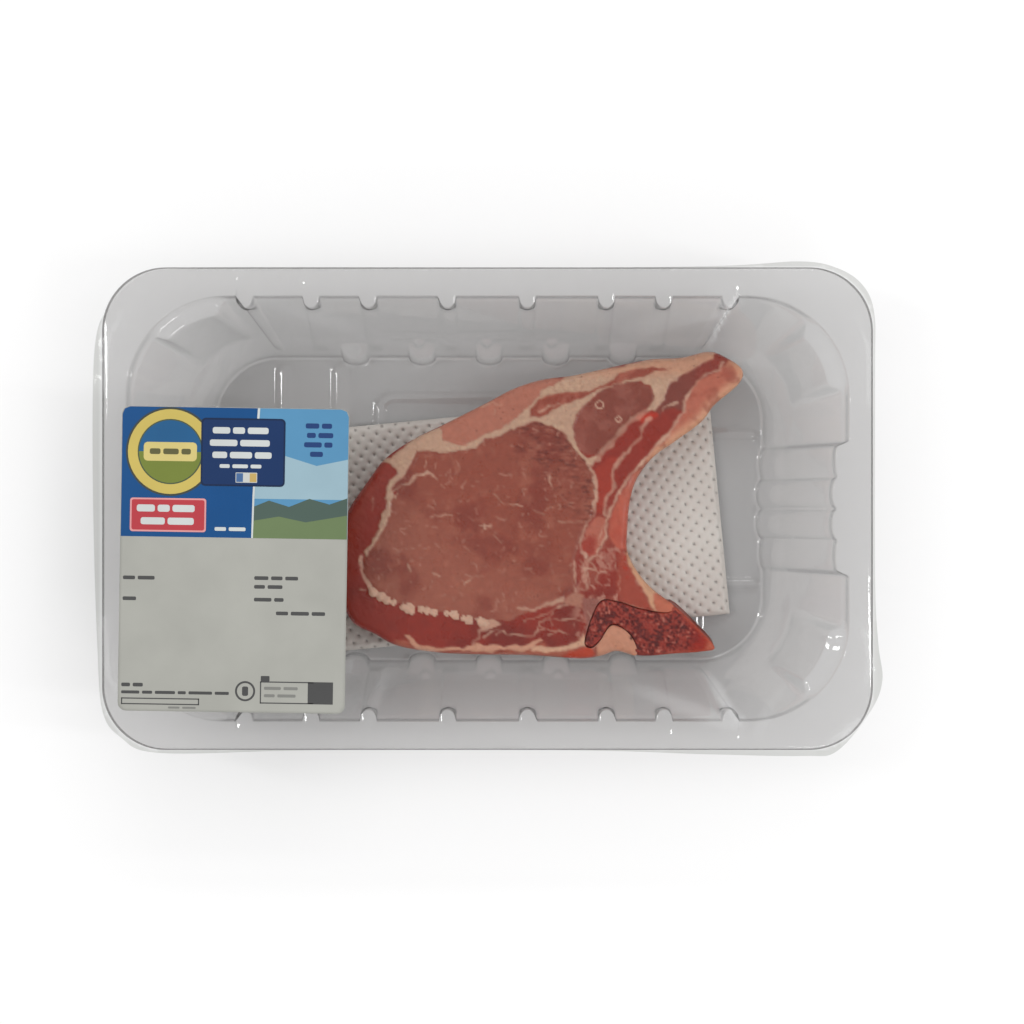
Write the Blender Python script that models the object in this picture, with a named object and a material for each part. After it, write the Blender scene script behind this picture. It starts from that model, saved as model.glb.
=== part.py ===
"""Shallow clear tray with a sealed lid film: one bone-in loin chop on an absorbent pad.

The pack lies on its floor, +X along its long side, +Z up. The origin is the middle of the floor's underside.
All sizes below are in millimetres and are turned to metres where a mesh is made.
"""

import math

import bmesh
import bpy
from mathutils import Vector

MM = 0.001
GAP = 0.3  # clearance between pieces that touch

# Tray
LENGTH, WIDTH, HEIGHT = 230.0, 144.0, 36.0
SHEET = 0.6  # wall of the formed sheet
RIM_RADIUS = 19.0  # outer corner
OPENING_X, OPENING_Y, OPENING_RADIUS = 108.0, 63.6, 30.0  # half sizes of the inner edge of the flange
FLOOR_X, FLOOR_Y, FLOOR_RADIUS = 87.0, 48.0, 20.0  # half sizes of the flat floor
SKIRT = 4.0  # turned-down edge below the flange
BUMP_AT = (11.9, 35.5, 52.6, 72.6)  # half-round stacking bumps on each half of a long side
BUMP_HALF, BUMP_DEPTH = 2.6, 3.5
FOOT_PITCH, FOOT_COUNT, FOOT_HALF, FOOT_DEPTH = 21.2, 5, 4.4, 2.2  # low pillars at a long wall's foot
LOBE_AT = (-14.1, -4.7, 4.7, 14.1)  # flutes down the middle of each end wall
LOBE_HALF = 4.7
LOBE_DEPTH = (0.9, 1.9, 1.9, 0.9)
LOBE_BASE_TOP, LOBE_BASE_FLOOR = 3.2, 0.3  # how far the fluted panel stands in from the wall
LOBE_EDGE = 1.5  # width of the step beside the fluted panel
FLUTE_LEFT, FLUTE_FADE = 0.14, 4.5  # what is left of a bump's depth low on the wall, and how fast it fades
SIDE_END = 1000.0  # a stop beyond any side's end
MIN_STOP = 0.6  # stops nearer than this are merged
SHELF = 4.2  # stacking shelf in one half of each corner
FIXED_X, FIXED_Y = 58.0, 19.0  # inside these, the wall's features run straight down
RIM_FIXED_X = 76.5  # and inside this they run straight out across the flange

# Raised ribs of the floor
RIB_RISE = 1.4
RIB_X = (46.8, 64.6)
RIB_WIDTH, RIB_REACH = 6.0, 43.6
RIB_OVERLAP = 0.1  # how far a rib and its groove run into the sheet
FRAME_X, FRAME_Y, FRAME_WIDTH, FRAME_RADIUS = 36.5, 37.5, 3.5, 6.0
END_RIB_Y, END_RIB_FROM, END_RIB_TO = 23.6, 70.5, 84.5
END_RIB_HALF, END_RIB_RADIUS = 1.8, 1.7

# Lid film and label
FILM = 0.2
LABEL_SIZE, LABEL_CENTRE, LABEL_TURN = (67.5, 90.5), (-75.4, -15.2), math.radians(-0.7)
LABEL_RADIUS, LABEL_THICK = 2.4, 0.2

# Pad and chop
PAD_SIZE, PAD_CENTRE, PAD_TURN = (128.0, 70.6), (9.4, -4.3), math.radians(5.5)
PAD_RADIUS = 0.8
PAD_THICK = 1.6
CHOP_THICK = 15.6

PAD_BOTTOM = SHEET + RIB_RISE + GAP
CHOP_BOTTOM = PAD_BOTTOM + PAD_THICK + GAP
FILM_BOTTOM = HEIGHT + GAP
LABEL_BOTTOM = FILM_BOTTOM + FILM + GAP

parts = bpy.data.collections.new("meat_tray_pack")
cutters = bpy.data.collections.new("cutters")


def start_scene():
    for old in list(bpy.data.objects):
        bpy.data.objects.remove(old)
    for group in (parts, cutters):
        bpy.context.scene.collection.children.link(group)


def finish(name, colour, roughness, alpha=1.0, metallic=0.0):
    """A Principled material in this colour."""
    made = bpy.data.materials.new(name)
    made.use_nodes = True
    shader = made.node_tree.nodes["Principled BSDF"]
    shader.inputs["Base Color"].default_value = (*colour, 1.0)
    shader.inputs["Roughness"].default_value = roughness
    shader.inputs["Metallic"].default_value = metallic
    shader.inputs["Alpha"].default_value = alpha
    made.diffuse_color = (*colour, alpha)
    return made


def add(name, mesh, group, material=None):
    piece = bpy.data.objects.new(name, mesh)
    group.objects.link(piece)
    if material:
        mesh.materials.clear()
        mesh.materials.append(material)
    if group is cutters:
        piece.hide_render = True
        piece.display_type = "WIRE"
    return piece


def plate(name, outline, thick, group, material=None):
    """A flat piece: a closed outline filled and extruded to this thickness, centred on z = 0, as a mesh."""
    curve = bpy.data.curves.new(name, "CURVE")
    curve.dimensions = "2D"
    curve.fill_mode = "BOTH"
    curve.extrude = thick / 2 * MM
    spline = curve.splines.new("POLY")
    spline.points.add(len(outline) - 1)
    for point, (x, y) in zip(spline.points, outline):
        point.co = (x * MM, y * MM, 0, 1)
    spline.use_cyclic_u = True
    drawn = bpy.data.objects.new(name + "_outline", curve)
    group.objects.link(drawn)
    evaluated = drawn.evaluated_get(bpy.context.evaluated_depsgraph_get())
    mesh = bpy.data.meshes.new_from_object(evaluated)
    bpy.data.objects.remove(drawn)
    shape = bmesh.new()
    shape.from_mesh(mesh)
    bmesh.ops.remove_doubles(shape, verts=shape.verts, dist=1e-6)
    bmesh.ops.recalc_face_normals(shape, faces=shape.faces)
    shape.to_mesh(mesh)
    shape.free()
    return add(name, mesh, group, material)


def closed_mesh(name, shape):
    """A mesh in metres from a shape drawn in millimetres, its large flat faces cut into triangles first."""
    shape.normal_update()
    bmesh.ops.triangulate(shape, faces=[face for face in shape.faces if len(face.verts) > 4])
    bmesh.ops.scale(shape, vec=(MM, MM, MM), verts=shape.verts)
    mesh = bpy.data.meshes.new(name)
    shape.to_mesh(mesh)
    shape.free()
    return mesh


def boolean(piece, operation, cutter):
    step = piece.modifiers.new(cutter.name, "BOOLEAN")
    step.operation = operation
    step.object = cutter


def rounded(half_x, half_y, radius, steps=6):
    """Points round a rectangle with round corners, anticlockwise from the lower right corner."""
    corners = ((1, -1, -90), (1, 1, 0), (-1, 1, 90), (-1, -1, 180))
    points = []
    for side_x, side_y, start in corners:
        for step in range(steps + 1):
            angle = math.radians(start + 90 * step / steps)
            points.append(
                (
                    side_x * (half_x - radius) + radius * math.cos(angle),
                    side_y * (half_y - radius) + radius * math.sin(angle),
                )
            )
    return points


def slot_outline(at, centre, width):
    """A slot-shaped outline with round ends between two points along Y."""
    low, high = at
    points = []
    for middle, start in ((high, 0), (low, 180)):
        for step in range(5):
            angle = math.radians(start + 45 * step)
            points.append(
                (
                    centre + width / 2 * math.cos(angle),
                    middle + width / 2 * math.sin(angle),
                )
            )
    return points


# ---------------------------------------------------------------- tray


def hump(distance, half):
    """Half-round profile: 1 in the middle, 0 at this half width and beyond."""
    share = abs(distance) / half
    return math.sqrt(max(0.0, 1 - share * share))


def long_side_stops():
    """Places along a long side where its outline needs a point."""
    stops = {-SIDE_END, SIDE_END}
    for centre in BUMP_AT:
        for shift in (-BUMP_HALF, -0.3 * BUMP_HALF, 0.3 * BUMP_HALF, BUMP_HALF):
            stops.update((centre + shift, -centre - shift))
    first = -(FOOT_COUNT - 1) / 2
    for row in range(FOOT_COUNT):
        centre = (first + row) * FOOT_PITCH
        for shift in (-FOOT_HALF, -0.5 * FOOT_HALF, 0.5 * FOOT_HALF, FOOT_HALF):
            stops.add(centre + shift)
    merged = []
    for stop in sorted(stops):
        if not merged or stop - merged[-1] > MIN_STOP:
            merged.append(stop)
    return merged


def end_stops():
    stops = [-SIDE_END, -LOBE_AT[-1] - LOBE_HALF - LOBE_EDGE]
    for centre in LOBE_AT:
        stops += [centre - LOBE_HALF, centre - 0.55 * LOBE_HALF, centre, centre + 0.55 * LOBE_HALF]
    return stops + [LOBE_AT[-1] + LOBE_HALF, LOBE_AT[-1] + LOBE_HALF + LOBE_EDGE, SIDE_END]


def slid(stop, fixed, top_half, half):
    """Where a stop lies along a side at some level: unmoved in the middle, drawn in towards the corners."""
    size = min(abs(stop), top_half)
    if size > fixed:
        size = fixed + (size - fixed) * (half - fixed) / (top_half - fixed)
    return math.copysign(size, stop)


def bumps(x, level, foot):
    """How far a long wall stands in at x: stacking bumps, their fading flutes and the pillars at the foot."""
    flute = max(FLUTE_LEFT, 1 - FLUTE_FADE * level) * (1 - foot)
    inward = max(BUMP_DEPTH * flute * hump(abs(x) - centre, BUMP_HALF) for centre in BUMP_AT)
    first = -(FOOT_COUNT - 1) / 2
    pillar = max(hump(x - (first + row) * FOOT_PITCH, FOOT_HALF) for row in range(FOOT_COUNT))
    return inward + FOOT_DEPTH * foot * pillar


def lobes(y, level):
    """How far an end wall stands in at y: a fluted panel across its middle."""
    if abs(y) >= LOBE_AT[-1] + LOBE_HALF + LOBE_EDGE:
        return 0.0
    base = LOBE_BASE_TOP + (LOBE_BASE_FLOOR - LOBE_BASE_TOP) * level
    if abs(y) > LOBE_AT[-1] + LOBE_HALF - 0.01:
        return 0.0 if abs(y) > LOBE_AT[-1] + LOBE_HALF + 0.01 else base * 0.6
    return base + max(d * hump(y - c, LOBE_HALF) for c, d in zip(LOBE_AT, LOBE_DEPTH))


def shelf_share(corner, angle):
    """1 in the half of each corner that carries the stacking shelf: by the end wall on the right, by the long
    wall on the left. angle runs 0 to 90 anticlockwise through the corner."""
    by_end = {0: angle > 40, 1: angle < 50, 2: angle < 50, 3: angle > 40}
    inside = 6 < angle < 84
    return 1.0 if by_end[corner] and inside else 0.0


LEVELS = (
    # level 0 at the opening to 1 at the floor, height, bumps and lobes, shelf, pillars, then where the
    # underside lies: how far out and how far down. The first three run round the flange's rim.
    (-3, HEIGHT - SKIRT, 0, 0, 0, -SHEET, 0.0),
    (-2, HEIGHT - 0.8, 0, 0, 0, -SHEET, -0.35),
    (-1, HEIGHT, 0, 0, 0, -0.4, -SHEET),
    (0.0, HEIGHT, 1, 0, 0, 0.9, -SHEET),
    (0.05, HEIGHT - 3.0, 1, 0, 0, 1.0, -0.15),
    (0.09, HEIGHT - 4.2, 1, 1, 0, 0.8, -0.5),
    (0.66, 12.0, 1, 0, 0, 0.8, -0.15),
    (0.95, 3.6, 1, 0, 1, 0.7, -0.3),
    (1.0, SHEET, 1, 0, 1, 0.15, -SHEET),
)
RIM_SET_IN = {-3: 0.0, -2: 0.6, -1: 1.5}


def ring(level_row, underside):
    """The sheet's outline at one level, anticlockwise from the left end of the lower long side."""
    level, height, pattern, shelf, foot, out, down = level_row
    if level < 0:
        inset = RIM_SET_IN[level]
        half_x, half_y, radius = LENGTH / 2 - inset, WIDTH / 2 - inset, RIM_RADIUS - inset
    else:
        half_x = OPENING_X + (FLOOR_X - OPENING_X) * level
        half_y = OPENING_Y + (FLOOR_Y - OPENING_Y) * level
        radius = OPENING_RADIUS + (FLOOR_RADIUS - OPENING_RADIUS) * level
    if underside:
        half_x, half_y, radius, height = half_x + out, half_y + out, radius + out, height + down
    run_x, run_y = half_x - radius, half_y - radius
    top_run_x, top_run_y = OPENING_X - OPENING_RADIUS, OPENING_Y - OPENING_RADIUS
    points = []

    def corner(number, side_x, side_y, start):
        for step in range(1, 6):
            turn = 15 * step
            reach = radius - SHELF * shelf * shelf_share(number, turn)
            angle = math.radians(start + turn)
            points.append((side_x * run_x + reach * math.cos(angle), side_y * run_y + reach * math.sin(angle)))

    for side in (-1, 1):
        for stop in long_side_stops():
            x = slid(stop, RIM_FIXED_X if level < 0 else FIXED_X, top_run_x, run_x)
            inward = pattern * bumps(max(-top_run_x, min(top_run_x, stop)), max(level, 0), foot)
            points.append((-side * x, side * (half_y - inward)))
        corner(0 if side < 0 else 2, -side, side, 270 if side < 0 else 90)
        for stop in end_stops():
            y = slid(stop, FIXED_Y, top_run_y, run_y)
            inward = pattern * lobes(stop, max(level, 0))
            points.append((-side * (half_x - inward), -side * y))
        corner(1 if side < 0 else 3, -side, -side, 0 if side < 0 else 180)
    return [Vector((x, y, height)) for x, y in points]


def tray():
    """The formed sheet: lofted from the skirt over the flange and down to the floor, and back under it."""
    shape = bmesh.new()
    rings = [[shape.verts.new(point) for point in ring(row, False)] for row in LEVELS]
    under = [[shape.verts.new(point) for point in ring(row, True)] for row in LEVELS]
    count = len(rings[0])

    def band(outer, inner):
        for place in range(count):
            after = (place + 1) % count
            shape.faces.new((outer[place], outer[after], inner[after], inner[place]))

    for outer, inner in zip(rings, rings[1:]):
        band(outer, inner)
    for outer, inner in zip(under, under[1:]):
        band(inner, outer)
    band(under[0], rings[0])
    shape.faces.new(rings[-1])
    shape.faces.new(tuple(reversed(under[-1])))
    mesh = closed_mesh("tray", shape)
    piece = add("tray", mesh, parts, finish("clear_plastic", (0.86, 0.88, 0.89), 0.08, 0.35))
    rib_outlines = []
    for x in RIB_X:
        for side in (-1, 1):
            rib_outlines.append((side * x, (-RIB_REACH, RIB_REACH)))
    for number, (x, reach) in enumerate(rib_outlines):
        deep = RIB_RISE + 2 * RIB_OVERLAP
        raised = plate(f"rib_{number}", slot_outline(reach, x, RIB_WIDTH), deep, cutters)
        raised.location.z = (SHEET + RIB_RISE / 2 - RIB_OVERLAP) * MM
        boolean(piece, "UNION", raised)
        inside = slot_outline(reach, x, RIB_WIDTH - 2 * SHEET)
        groove = plate(f"groove_{number}", inside, deep, cutters)
        groove.location.z = (RIB_RISE / 2 - RIB_OVERLAP) * MM
        boolean(piece, "DIFFERENCE", groove)
    return piece


def frame_rib(piece):
    """The raised rectangular frame round the middle of the floor."""
    for name, grow, middle, operation in (
        ("frame", 0.0, SHEET + RIB_RISE / 2 - RIB_OVERLAP, "UNION"),
        ("frame_groove", SHEET, RIB_RISE / 2 - RIB_OVERLAP, "DIFFERENCE"),
    ):
        edge = rounded(FRAME_X - grow, FRAME_Y - grow, FRAME_RADIUS - grow, 4)
        outer = plate(name, edge, RIB_RISE + 2 * RIB_OVERLAP, cutters)
        inside = FRAME_WIDTH - grow
        inner = plate(
            name + "_inside",
            rounded(FRAME_X - inside, FRAME_Y - inside, FRAME_RADIUS - inside, 4),
            2 * RIB_RISE,
            cutters,
        )
        boolean(outer, "DIFFERENCE", inner)
        outer.location.z = middle * MM
        inner.location.z = middle * MM
        boolean(piece, operation, outer)


def end_ribs(piece):
    """Short ribs from the floor's ends, two at each end."""
    for side_x in (-1, 1):
        for side_y in (-1, 1):
            middle = side_x * (END_RIB_FROM + END_RIB_TO) / 2
            half = (END_RIB_TO - END_RIB_FROM) / 2
            outline = [(middle + x, side_y * END_RIB_Y + y) for x, y in rounded(half, END_RIB_HALF, END_RIB_RADIUS, 3)]
            name = f"end_rib_{side_x}_{side_y}".replace("-", "m")
            raised = plate(name, outline, RIB_RISE + 2 * RIB_OVERLAP, cutters)
            raised.location.z = (SHEET + RIB_RISE / 2 - RIB_OVERLAP) * MM
            boolean(piece, "UNION", raised)


# ---------------------------------------------------------------- lid film and label

FILM_OUTLINE = (
    # anticlockwise from the lower left, with the trimmed ear at the lower right
    (-109, -68), (-98, -72.6), (-60, -72), (-20, -71.4), (35, -72), (65, -73), (94, -73.5), (104, -72),
    (114, -60), (117.4, -51), (116.2, -40), (115.2, -20), (115.2, 40), (115.0, 58), (111.5, 66.5),
    (104, 71.5), (93, 73.5), (70, 72.2), (20, 71.6), (-60, 71.8), (-92, 71.4), (-104, 68.6),
    (-112.5, 60), (-116.5, 50), (-117.4, 25), (-117, -10), (-116, -40), (-114.5, -60),
)  # fmt: skip


def film():
    piece = plate("film", FILM_OUTLINE, FILM, parts, finish("lid_film", (0.9, 0.91, 0.92), 0.1, 0.25))
    piece.location.z = (FILM_BOTTOM + FILM / 2) * MM


def label():
    outline = rounded(LABEL_SIZE[0] / 2, LABEL_SIZE[1] / 2, LABEL_RADIUS, 4)
    piece = plate("label", outline, LABEL_THICK, parts, finish("label_paper", (0.78, 0.78, 0.78), 0.45))
    piece.location = (LABEL_CENTRE[0] * MM, LABEL_CENTRE[1] * MM, (LABEL_BOTTOM + LABEL_THICK / 2) * MM)
    piece.rotation_euler.z = LABEL_TURN


# ---------------------------------------------------------------- pad


def pad():
    outline = rounded(PAD_SIZE[0] / 2, PAD_SIZE[1] / 2, PAD_RADIUS, 2)
    piece = plate("pad", outline, PAD_THICK, parts, finish("pad_white", (0.8, 0.8, 0.79), 0.8))
    piece.location = (PAD_CENTRE[0] * MM, PAD_CENTRE[1] * MM, (PAD_BOTTOM + PAD_THICK / 2) * MM)
    piece.rotation_euler.z = PAD_TURN


# ---------------------------------------------------------------- chop and its bone

CHOP_OUTLINE = (
    # anticlockwise from the end of the rib tip at the upper right
    (78.5, 43), (73.5, 46.8), (68, 48.6), (60, 46.8), (50, 46.2), (40, 44.2), (26, 41.2), (17, 40), (8, 37.2),
    (-2, 32), (-14, 26), (-23, 21.6), (-32, 15.4), (-38, 7.5), (-43.5, -1), (-46.5, -12), (-46.5, -24),
    (-42.5, -34.5), (-35, -38.8), (-28, -42.4), (-16, -44.4), (-4, -45), (13, -45.3), (28, -46.3), (35, -45.4),
    (39.5, -44), (46.5, -45.2), (58, -44.6), (66, -44), (70, -42.6), (65, -36.8), (57, -29.8), (51, -25),
    (46.5, -20), (43, -13), (43, -6), (43.8, 2.5), (46, 9.4), (51, 16), (58, 21), (66, 27),
    (70, 32.2), (77.4, 38.6),
)  # fmt: skip
BONE_REGION = (
    # anticlockwise; the outer side passes beyond the chop's edge
    (33.8, -28.9), (29.6, -40.4), (31.4, -43), (34.2, -41), (37.6, -36.2), (41.2, -36.8), (44.6, -40.2),
    (46.2, -50), (76, -50), (76, -40), (61, -30), (55, -31.8), (47, -30.6), (39.4, -28.3),
)  # fmt: skip
CHOP_RINGS = ((0.0, 2.6), (2.6, 0.7), (7.6, 0.0), (12.8, 0.5), (CHOP_THICK, 2.4))  # height, set in
TIPS = ((77.0, 42.5), (69.5, -43.0))  # the two sharp ends, whose edges stay square
TIP_REACH = 14.0


def smooth_outline(points, steps):
    """A closed Catmull-Rom curve through the points, with this many steps in each span."""
    count = len(points)
    made = []
    for place in range(count):
        before, here, after, last = (Vector(points[(place + shift) % count]) for shift in (-1, 0, 1, 2))
        for step in range(steps):
            t = step / steps
            made.append(
                0.5
                * (
                    2 * here
                    + (after - before) * t
                    + (2 * before - 5 * here + 4 * after - last) * t * t
                    + (3 * here - before - 3 * after + last) * t**3
                )
            )
    return made


def set_in(points, distance, tips=()):
    """The outline moved inwards by this distance along its normals, and less towards the tips."""
    count = len(points)
    moved = []
    for place, point in enumerate(points):
        along = (points[(place + 1) % count] - points[place - 1]).normalized()
        share = min([1.0] + [(point - Vector(tip)).length / TIP_REACH for tip in tips])
        moved.append(point + Vector((-along.y, along.x)) * distance * share)
    return moved


def chop_block(name, group, material=None):
    """The whole chop, bone and meat, as a block with rounded edges."""
    outline = smooth_outline(CHOP_OUTLINE, 2)
    shape = bmesh.new()
    rings = []
    for height, inset in CHOP_RINGS:
        level = CHOP_BOTTOM + height
        rings.append([shape.verts.new((x, y, level)) for x, y in set_in(outline, inset, TIPS)])
    for lower, upper in zip(rings, rings[1:]):
        count = len(lower)
        for place in range(count):
            after = (place + 1) % count
            shape.faces.new((lower[place], lower[after], upper[after], upper[place]))
    shape.faces.new(rings[-1])
    shape.faces.new(tuple(reversed(rings[0])))
    mesh = closed_mesh(name, shape)
    return add(name, mesh, group, material)


def region_prism(name, grow):
    """The bone's region as a tall prism, grown outwards by this much."""
    points = [Vector(point) for point in BONE_REGION]
    outline = set_in(points, -grow)
    prism = plate(name, [(p.x, p.y) for p in outline], 2 * CHOP_THICK, cutters)
    prism.location.z = (CHOP_BOTTOM + CHOP_THICK / 2) * MM
    return prism


def chop():
    meat = chop_block("chop", parts, finish("raw_meat", (0.48, 0.16, 0.13), 0.35))
    boolean(meat, "DIFFERENCE", region_prism("bone_room", GAP / 2))
    bone = chop_block("bone", parts, finish("raw_bone", (0.42, 0.09, 0.08), 0.5))
    boolean(bone, "INTERSECT", region_prism("bone_body", -GAP / 2))


start_scene()
formed = tray()
frame_rib(formed)
end_ribs(formed)
film()
label()
pad()
chop()
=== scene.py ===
import math

import bpy
import numpy as np
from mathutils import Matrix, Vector, geometry, noise


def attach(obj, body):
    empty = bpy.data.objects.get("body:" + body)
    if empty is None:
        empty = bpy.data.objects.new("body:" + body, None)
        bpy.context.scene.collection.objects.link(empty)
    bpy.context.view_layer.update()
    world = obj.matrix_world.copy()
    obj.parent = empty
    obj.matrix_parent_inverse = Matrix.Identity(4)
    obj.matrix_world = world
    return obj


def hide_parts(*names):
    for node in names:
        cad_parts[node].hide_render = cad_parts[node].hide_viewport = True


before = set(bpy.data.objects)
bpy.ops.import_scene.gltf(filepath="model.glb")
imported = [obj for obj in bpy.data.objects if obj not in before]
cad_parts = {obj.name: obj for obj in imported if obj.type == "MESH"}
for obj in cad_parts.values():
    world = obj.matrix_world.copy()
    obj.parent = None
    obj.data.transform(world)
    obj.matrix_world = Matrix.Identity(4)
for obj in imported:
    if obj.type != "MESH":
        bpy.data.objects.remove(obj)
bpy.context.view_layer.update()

MM = 0.001

# ---------------------------------------------------------------- floor, light and camera
# The stand is a plain white table with the pack in its middle, seen from straight above at arm's length.
# A white sky gives most of the light; long lamps to the left, right and front draw the glints on the plastic.

TABLE = 3.0  # metres
SKY = 0.78
LAMPS = (
    # name, place, size across and along, brightness
    ("lamp_left", (-0.62, 0.16, 0.70), (0.05, 0.55), 17.0),
    ("lamp_right", (0.60, -0.10, 0.62), (0.045, 0.50), 17.0),
    ("lamp_far", (0.05, 0.72, 0.60), (0.60, 0.05), 9.0),
    ("lamp_near", (0.34, -0.62, 0.66), (0.22, 0.06), 13.0),
)


def blank(name):
    """A new material with only its output node, and a function that adds nodes to it."""
    made = bpy.data.materials.new(name)
    made.use_nodes = True
    tree = made.node_tree
    tree.nodes.clear()

    def node(kind, settings=None, **inputs):
        added = tree.nodes.new(kind)
        for key, value in (settings or {}).items():
            setattr(added, key, value)
        for key, value in inputs.items():
            socket = added.inputs[int(key[1:])] if key[0] == "_" else added.inputs[key.replace("_", " ")]
            if isinstance(value, bpy.types.NodeSocket):
                tree.links.new(value, socket)
            else:
                socket.default_value = value
        return added

    return made, node


def bright_lamp(name, place, size, brightness):
    data = bpy.data.lights.new(name, "AREA")
    data.shape, data.size, data.size_y = "RECTANGLE", size[0], size[1]
    data.energy = brightness * math.pi * size[0] * size[1]
    lamp = bpy.data.objects.new(name, data)
    bpy.context.scene.collection.objects.link(lamp)
    lamp.location = place
    lamp.rotation_euler = (-Vector(place)).to_track_quat("-Z", "Y").to_euler()
    return lamp


for lamp_facts in LAMPS:
    bright_lamp(*lamp_facts)

sky = bpy.data.worlds.new("white_sky")
bpy.context.scene.world = sky
sky.use_nodes = True
sky.node_tree.nodes.clear()
background = sky.node_tree.nodes.new("ShaderNodeBackground")
background.inputs["Color"].default_value = (1, 1, 1, 1)
background.inputs["Strength"].default_value = SKY
sky_end = sky.node_tree.nodes.new("ShaderNodeOutputWorld")
sky.node_tree.links.new(background.outputs[0], sky_end.inputs[0])

bpy.ops.mesh.primitive_plane_add(size=TABLE)
table = bpy.context.active_object
table.name = "table_top"
table_paint, node = blank("table_white")
painted = node("ShaderNodeBsdfDiffuse", Color=(0.96, 0.96, 0.96, 1))
node("ShaderNodeOutputMaterial", Surface=painted.outputs[0])
table.data.materials.append(table_paint)

camera_data = bpy.data.cameras.new("camera")
camera_data.sensor_width = 36.0
camera_data.angle = math.radians(34.8)
camera_data.clip_start = 0.02
camera = bpy.data.objects.new("camera", camera_data)
bpy.context.scene.collection.objects.link(camera)
camera.location = (7.3 * MM, -1.0 * MM, 522 * MM)
bpy.context.scene.camera = camera
bpy.context.scene.view_settings.view_transform = "Standard"

# ---------------------------------------------------------------- tray
# The tray is one clear PET sheet, drawn down over a mould while hot, then trimmed round its turned-down edge.
# Half-round stacking bumps run down the long walls as flutes and end in small pillars at the foot, the ends
# have four wide flutes, and raised ribs stiffen the floor.

LENGTH, WIDTH, HEIGHT = 230.0, 144.0, 36.0
RIM_RADIUS = 19.0
OPENING_X, OPENING_Y, OPENING_RADIUS = 108.0, 63.6, 30.0  # half sizes at the flange's inner edge
FLOOR_X, FLOOR_Y, FLOOR_RADIUS = 87.0, 48.0, 20.0  # half sizes of the flat floor
FLOOR_TOP = 0.4
BUMP_AT, BUMP_HALF, BUMP_DEPTH = (11.9, 35.5, 52.6, 72.6), 2.6, 3.5
FLUTE_DEPTH = 0.5  # what is left of a bump lower on the wall
PILLAR_AT, PILLAR_HALF, PILLAR_DEPTH = (-42.4, -21.2, 0.0, 21.2, 42.4), 4.4, 2.5
DOT_AT, DOT_LEVEL, DOT_RADIUS, DOT_RISE = (-19.8, 0.6, 21.8), 0.74, 1.7, 0.8
LOBE_AT, LOBE_HALF, LOBE_DEPTH = (-14.1, -4.7, 4.7, 14.1), 4.7, (0.9, 1.9, 1.9, 0.9)
LOBE_BASE_TOP, LOBE_BASE_FLOOR = 3.2, 0.3
SHELF = 4.2  # stacking ledge in half of each corner
FIXED_X, FIXED_Y, RIM_FIXED_X = 58.0, 19.0, 76.5
RIB_RISE, RIB_WIDTH, RIB_REACH, RIB_X = 1.4, 6.0, 43.6, (46.8, 64.6)
FRAME_X, FRAME_Y, FRAME_WIDTH, FRAME_RADIUS = 36.5, 37.5, 3.5, 6.0
END_RIB_Y, END_RIB_FROM, END_RIB_TO, END_RIB_WIDTH = 23.6, 70.5, 86.0, 3.4
RIB_EDGE = 0.8  # how far a rib's side leans
EDGE_STEPS = ((0.0, 32.0), (0.0, 34.4), (0.12, 35.0), (0.4, 35.5), (0.8, 35.85), (1.3, 36.0), (2.2, 36.0))
WALL_LEVELS = (0.0, 0.05, 0.09, 0.66, 0.95, 1.0)  # opening to floor
WALL_HEIGHTS = (36.0, 33.0, 31.8, 12.0, 3.4, FLOOR_TOP)
PLASTIC_PASS_WITH_PAINTED_SHADE = (0.70, 0.694, 0.692)  # how much light one wall of the sheet lets by: much less than a clear sheet would, as painted shade for the dim table seen through the tray
DOUBLE_FILM = (0.72, 0.725, 0.71, 1)  # the same where the lid film lies double


def ramp(value, start, end):
    """0 before start, 1 after end, and a soft S between."""
    share = np.clip((np.asarray(value, float) - start) / (end - start), 0, 1)
    return share * share * (3 - 2 * share)


def dome(distance, half):
    return np.sqrt(np.clip(1 - (distance / half) ** 2, 0, None))


def mesh_piece(name, points, faces, material, smooth=True, values=None):
    """An object at the origin from points in millimetres and faces of equal or mixed size."""
    mesh = bpy.data.meshes.new(name)
    mesh.from_pydata((np.asarray(points, float) * MM).tolist(), [], [list(map(int, face)) for face in faces])
    mesh.polygons.foreach_set("use_smooth", [smooth] * len(mesh.polygons))
    for key, data in (values or {}).items():
        data = np.asarray(data, np.float32)
        kind, field = ("FLOAT_COLOR", "color") if data.ndim == 2 else ("FLOAT", "value")
        mesh.attributes.new(key, kind, "POINT").data.foreach_set(field, data.ravel())
    mesh.update()
    mesh.materials.append(material)
    piece = bpy.data.objects.new(name, mesh)
    bpy.context.scene.collection.objects.link(piece)
    return piece


def filled(outline, spacing, margin=0.55, turn=0.0):
    """Points and triangles that fill a closed outline: its own points first, then a lattice inside it."""
    outline = np.asarray(outline, float)
    low, high = outline.min(0), outline.max(0)
    centre, reach = (low + high) / 2, np.linalg.norm(high - low) / 2
    steps = np.arange(-reach, reach + spacing, spacing)
    across, along = np.meshgrid(steps, steps)
    lattice = np.column_stack((across.ravel(), along.ravel()))
    cos, sin = math.cos(turn), math.sin(turn)
    lattice = lattice @ np.array(((cos, sin), (-sin, cos))) + centre
    lattice = lattice[signed(lattice, outline) < -margin * spacing]
    everything = np.vstack((outline, lattice))
    made = geometry.delaunay_2d_cdt(
        [Vector(point) for point in everything], [], [list(range(len(outline)))], 1, 1e-5
    )
    return np.array([tuple(point) for point in made[0]]), np.array(made[2])


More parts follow.
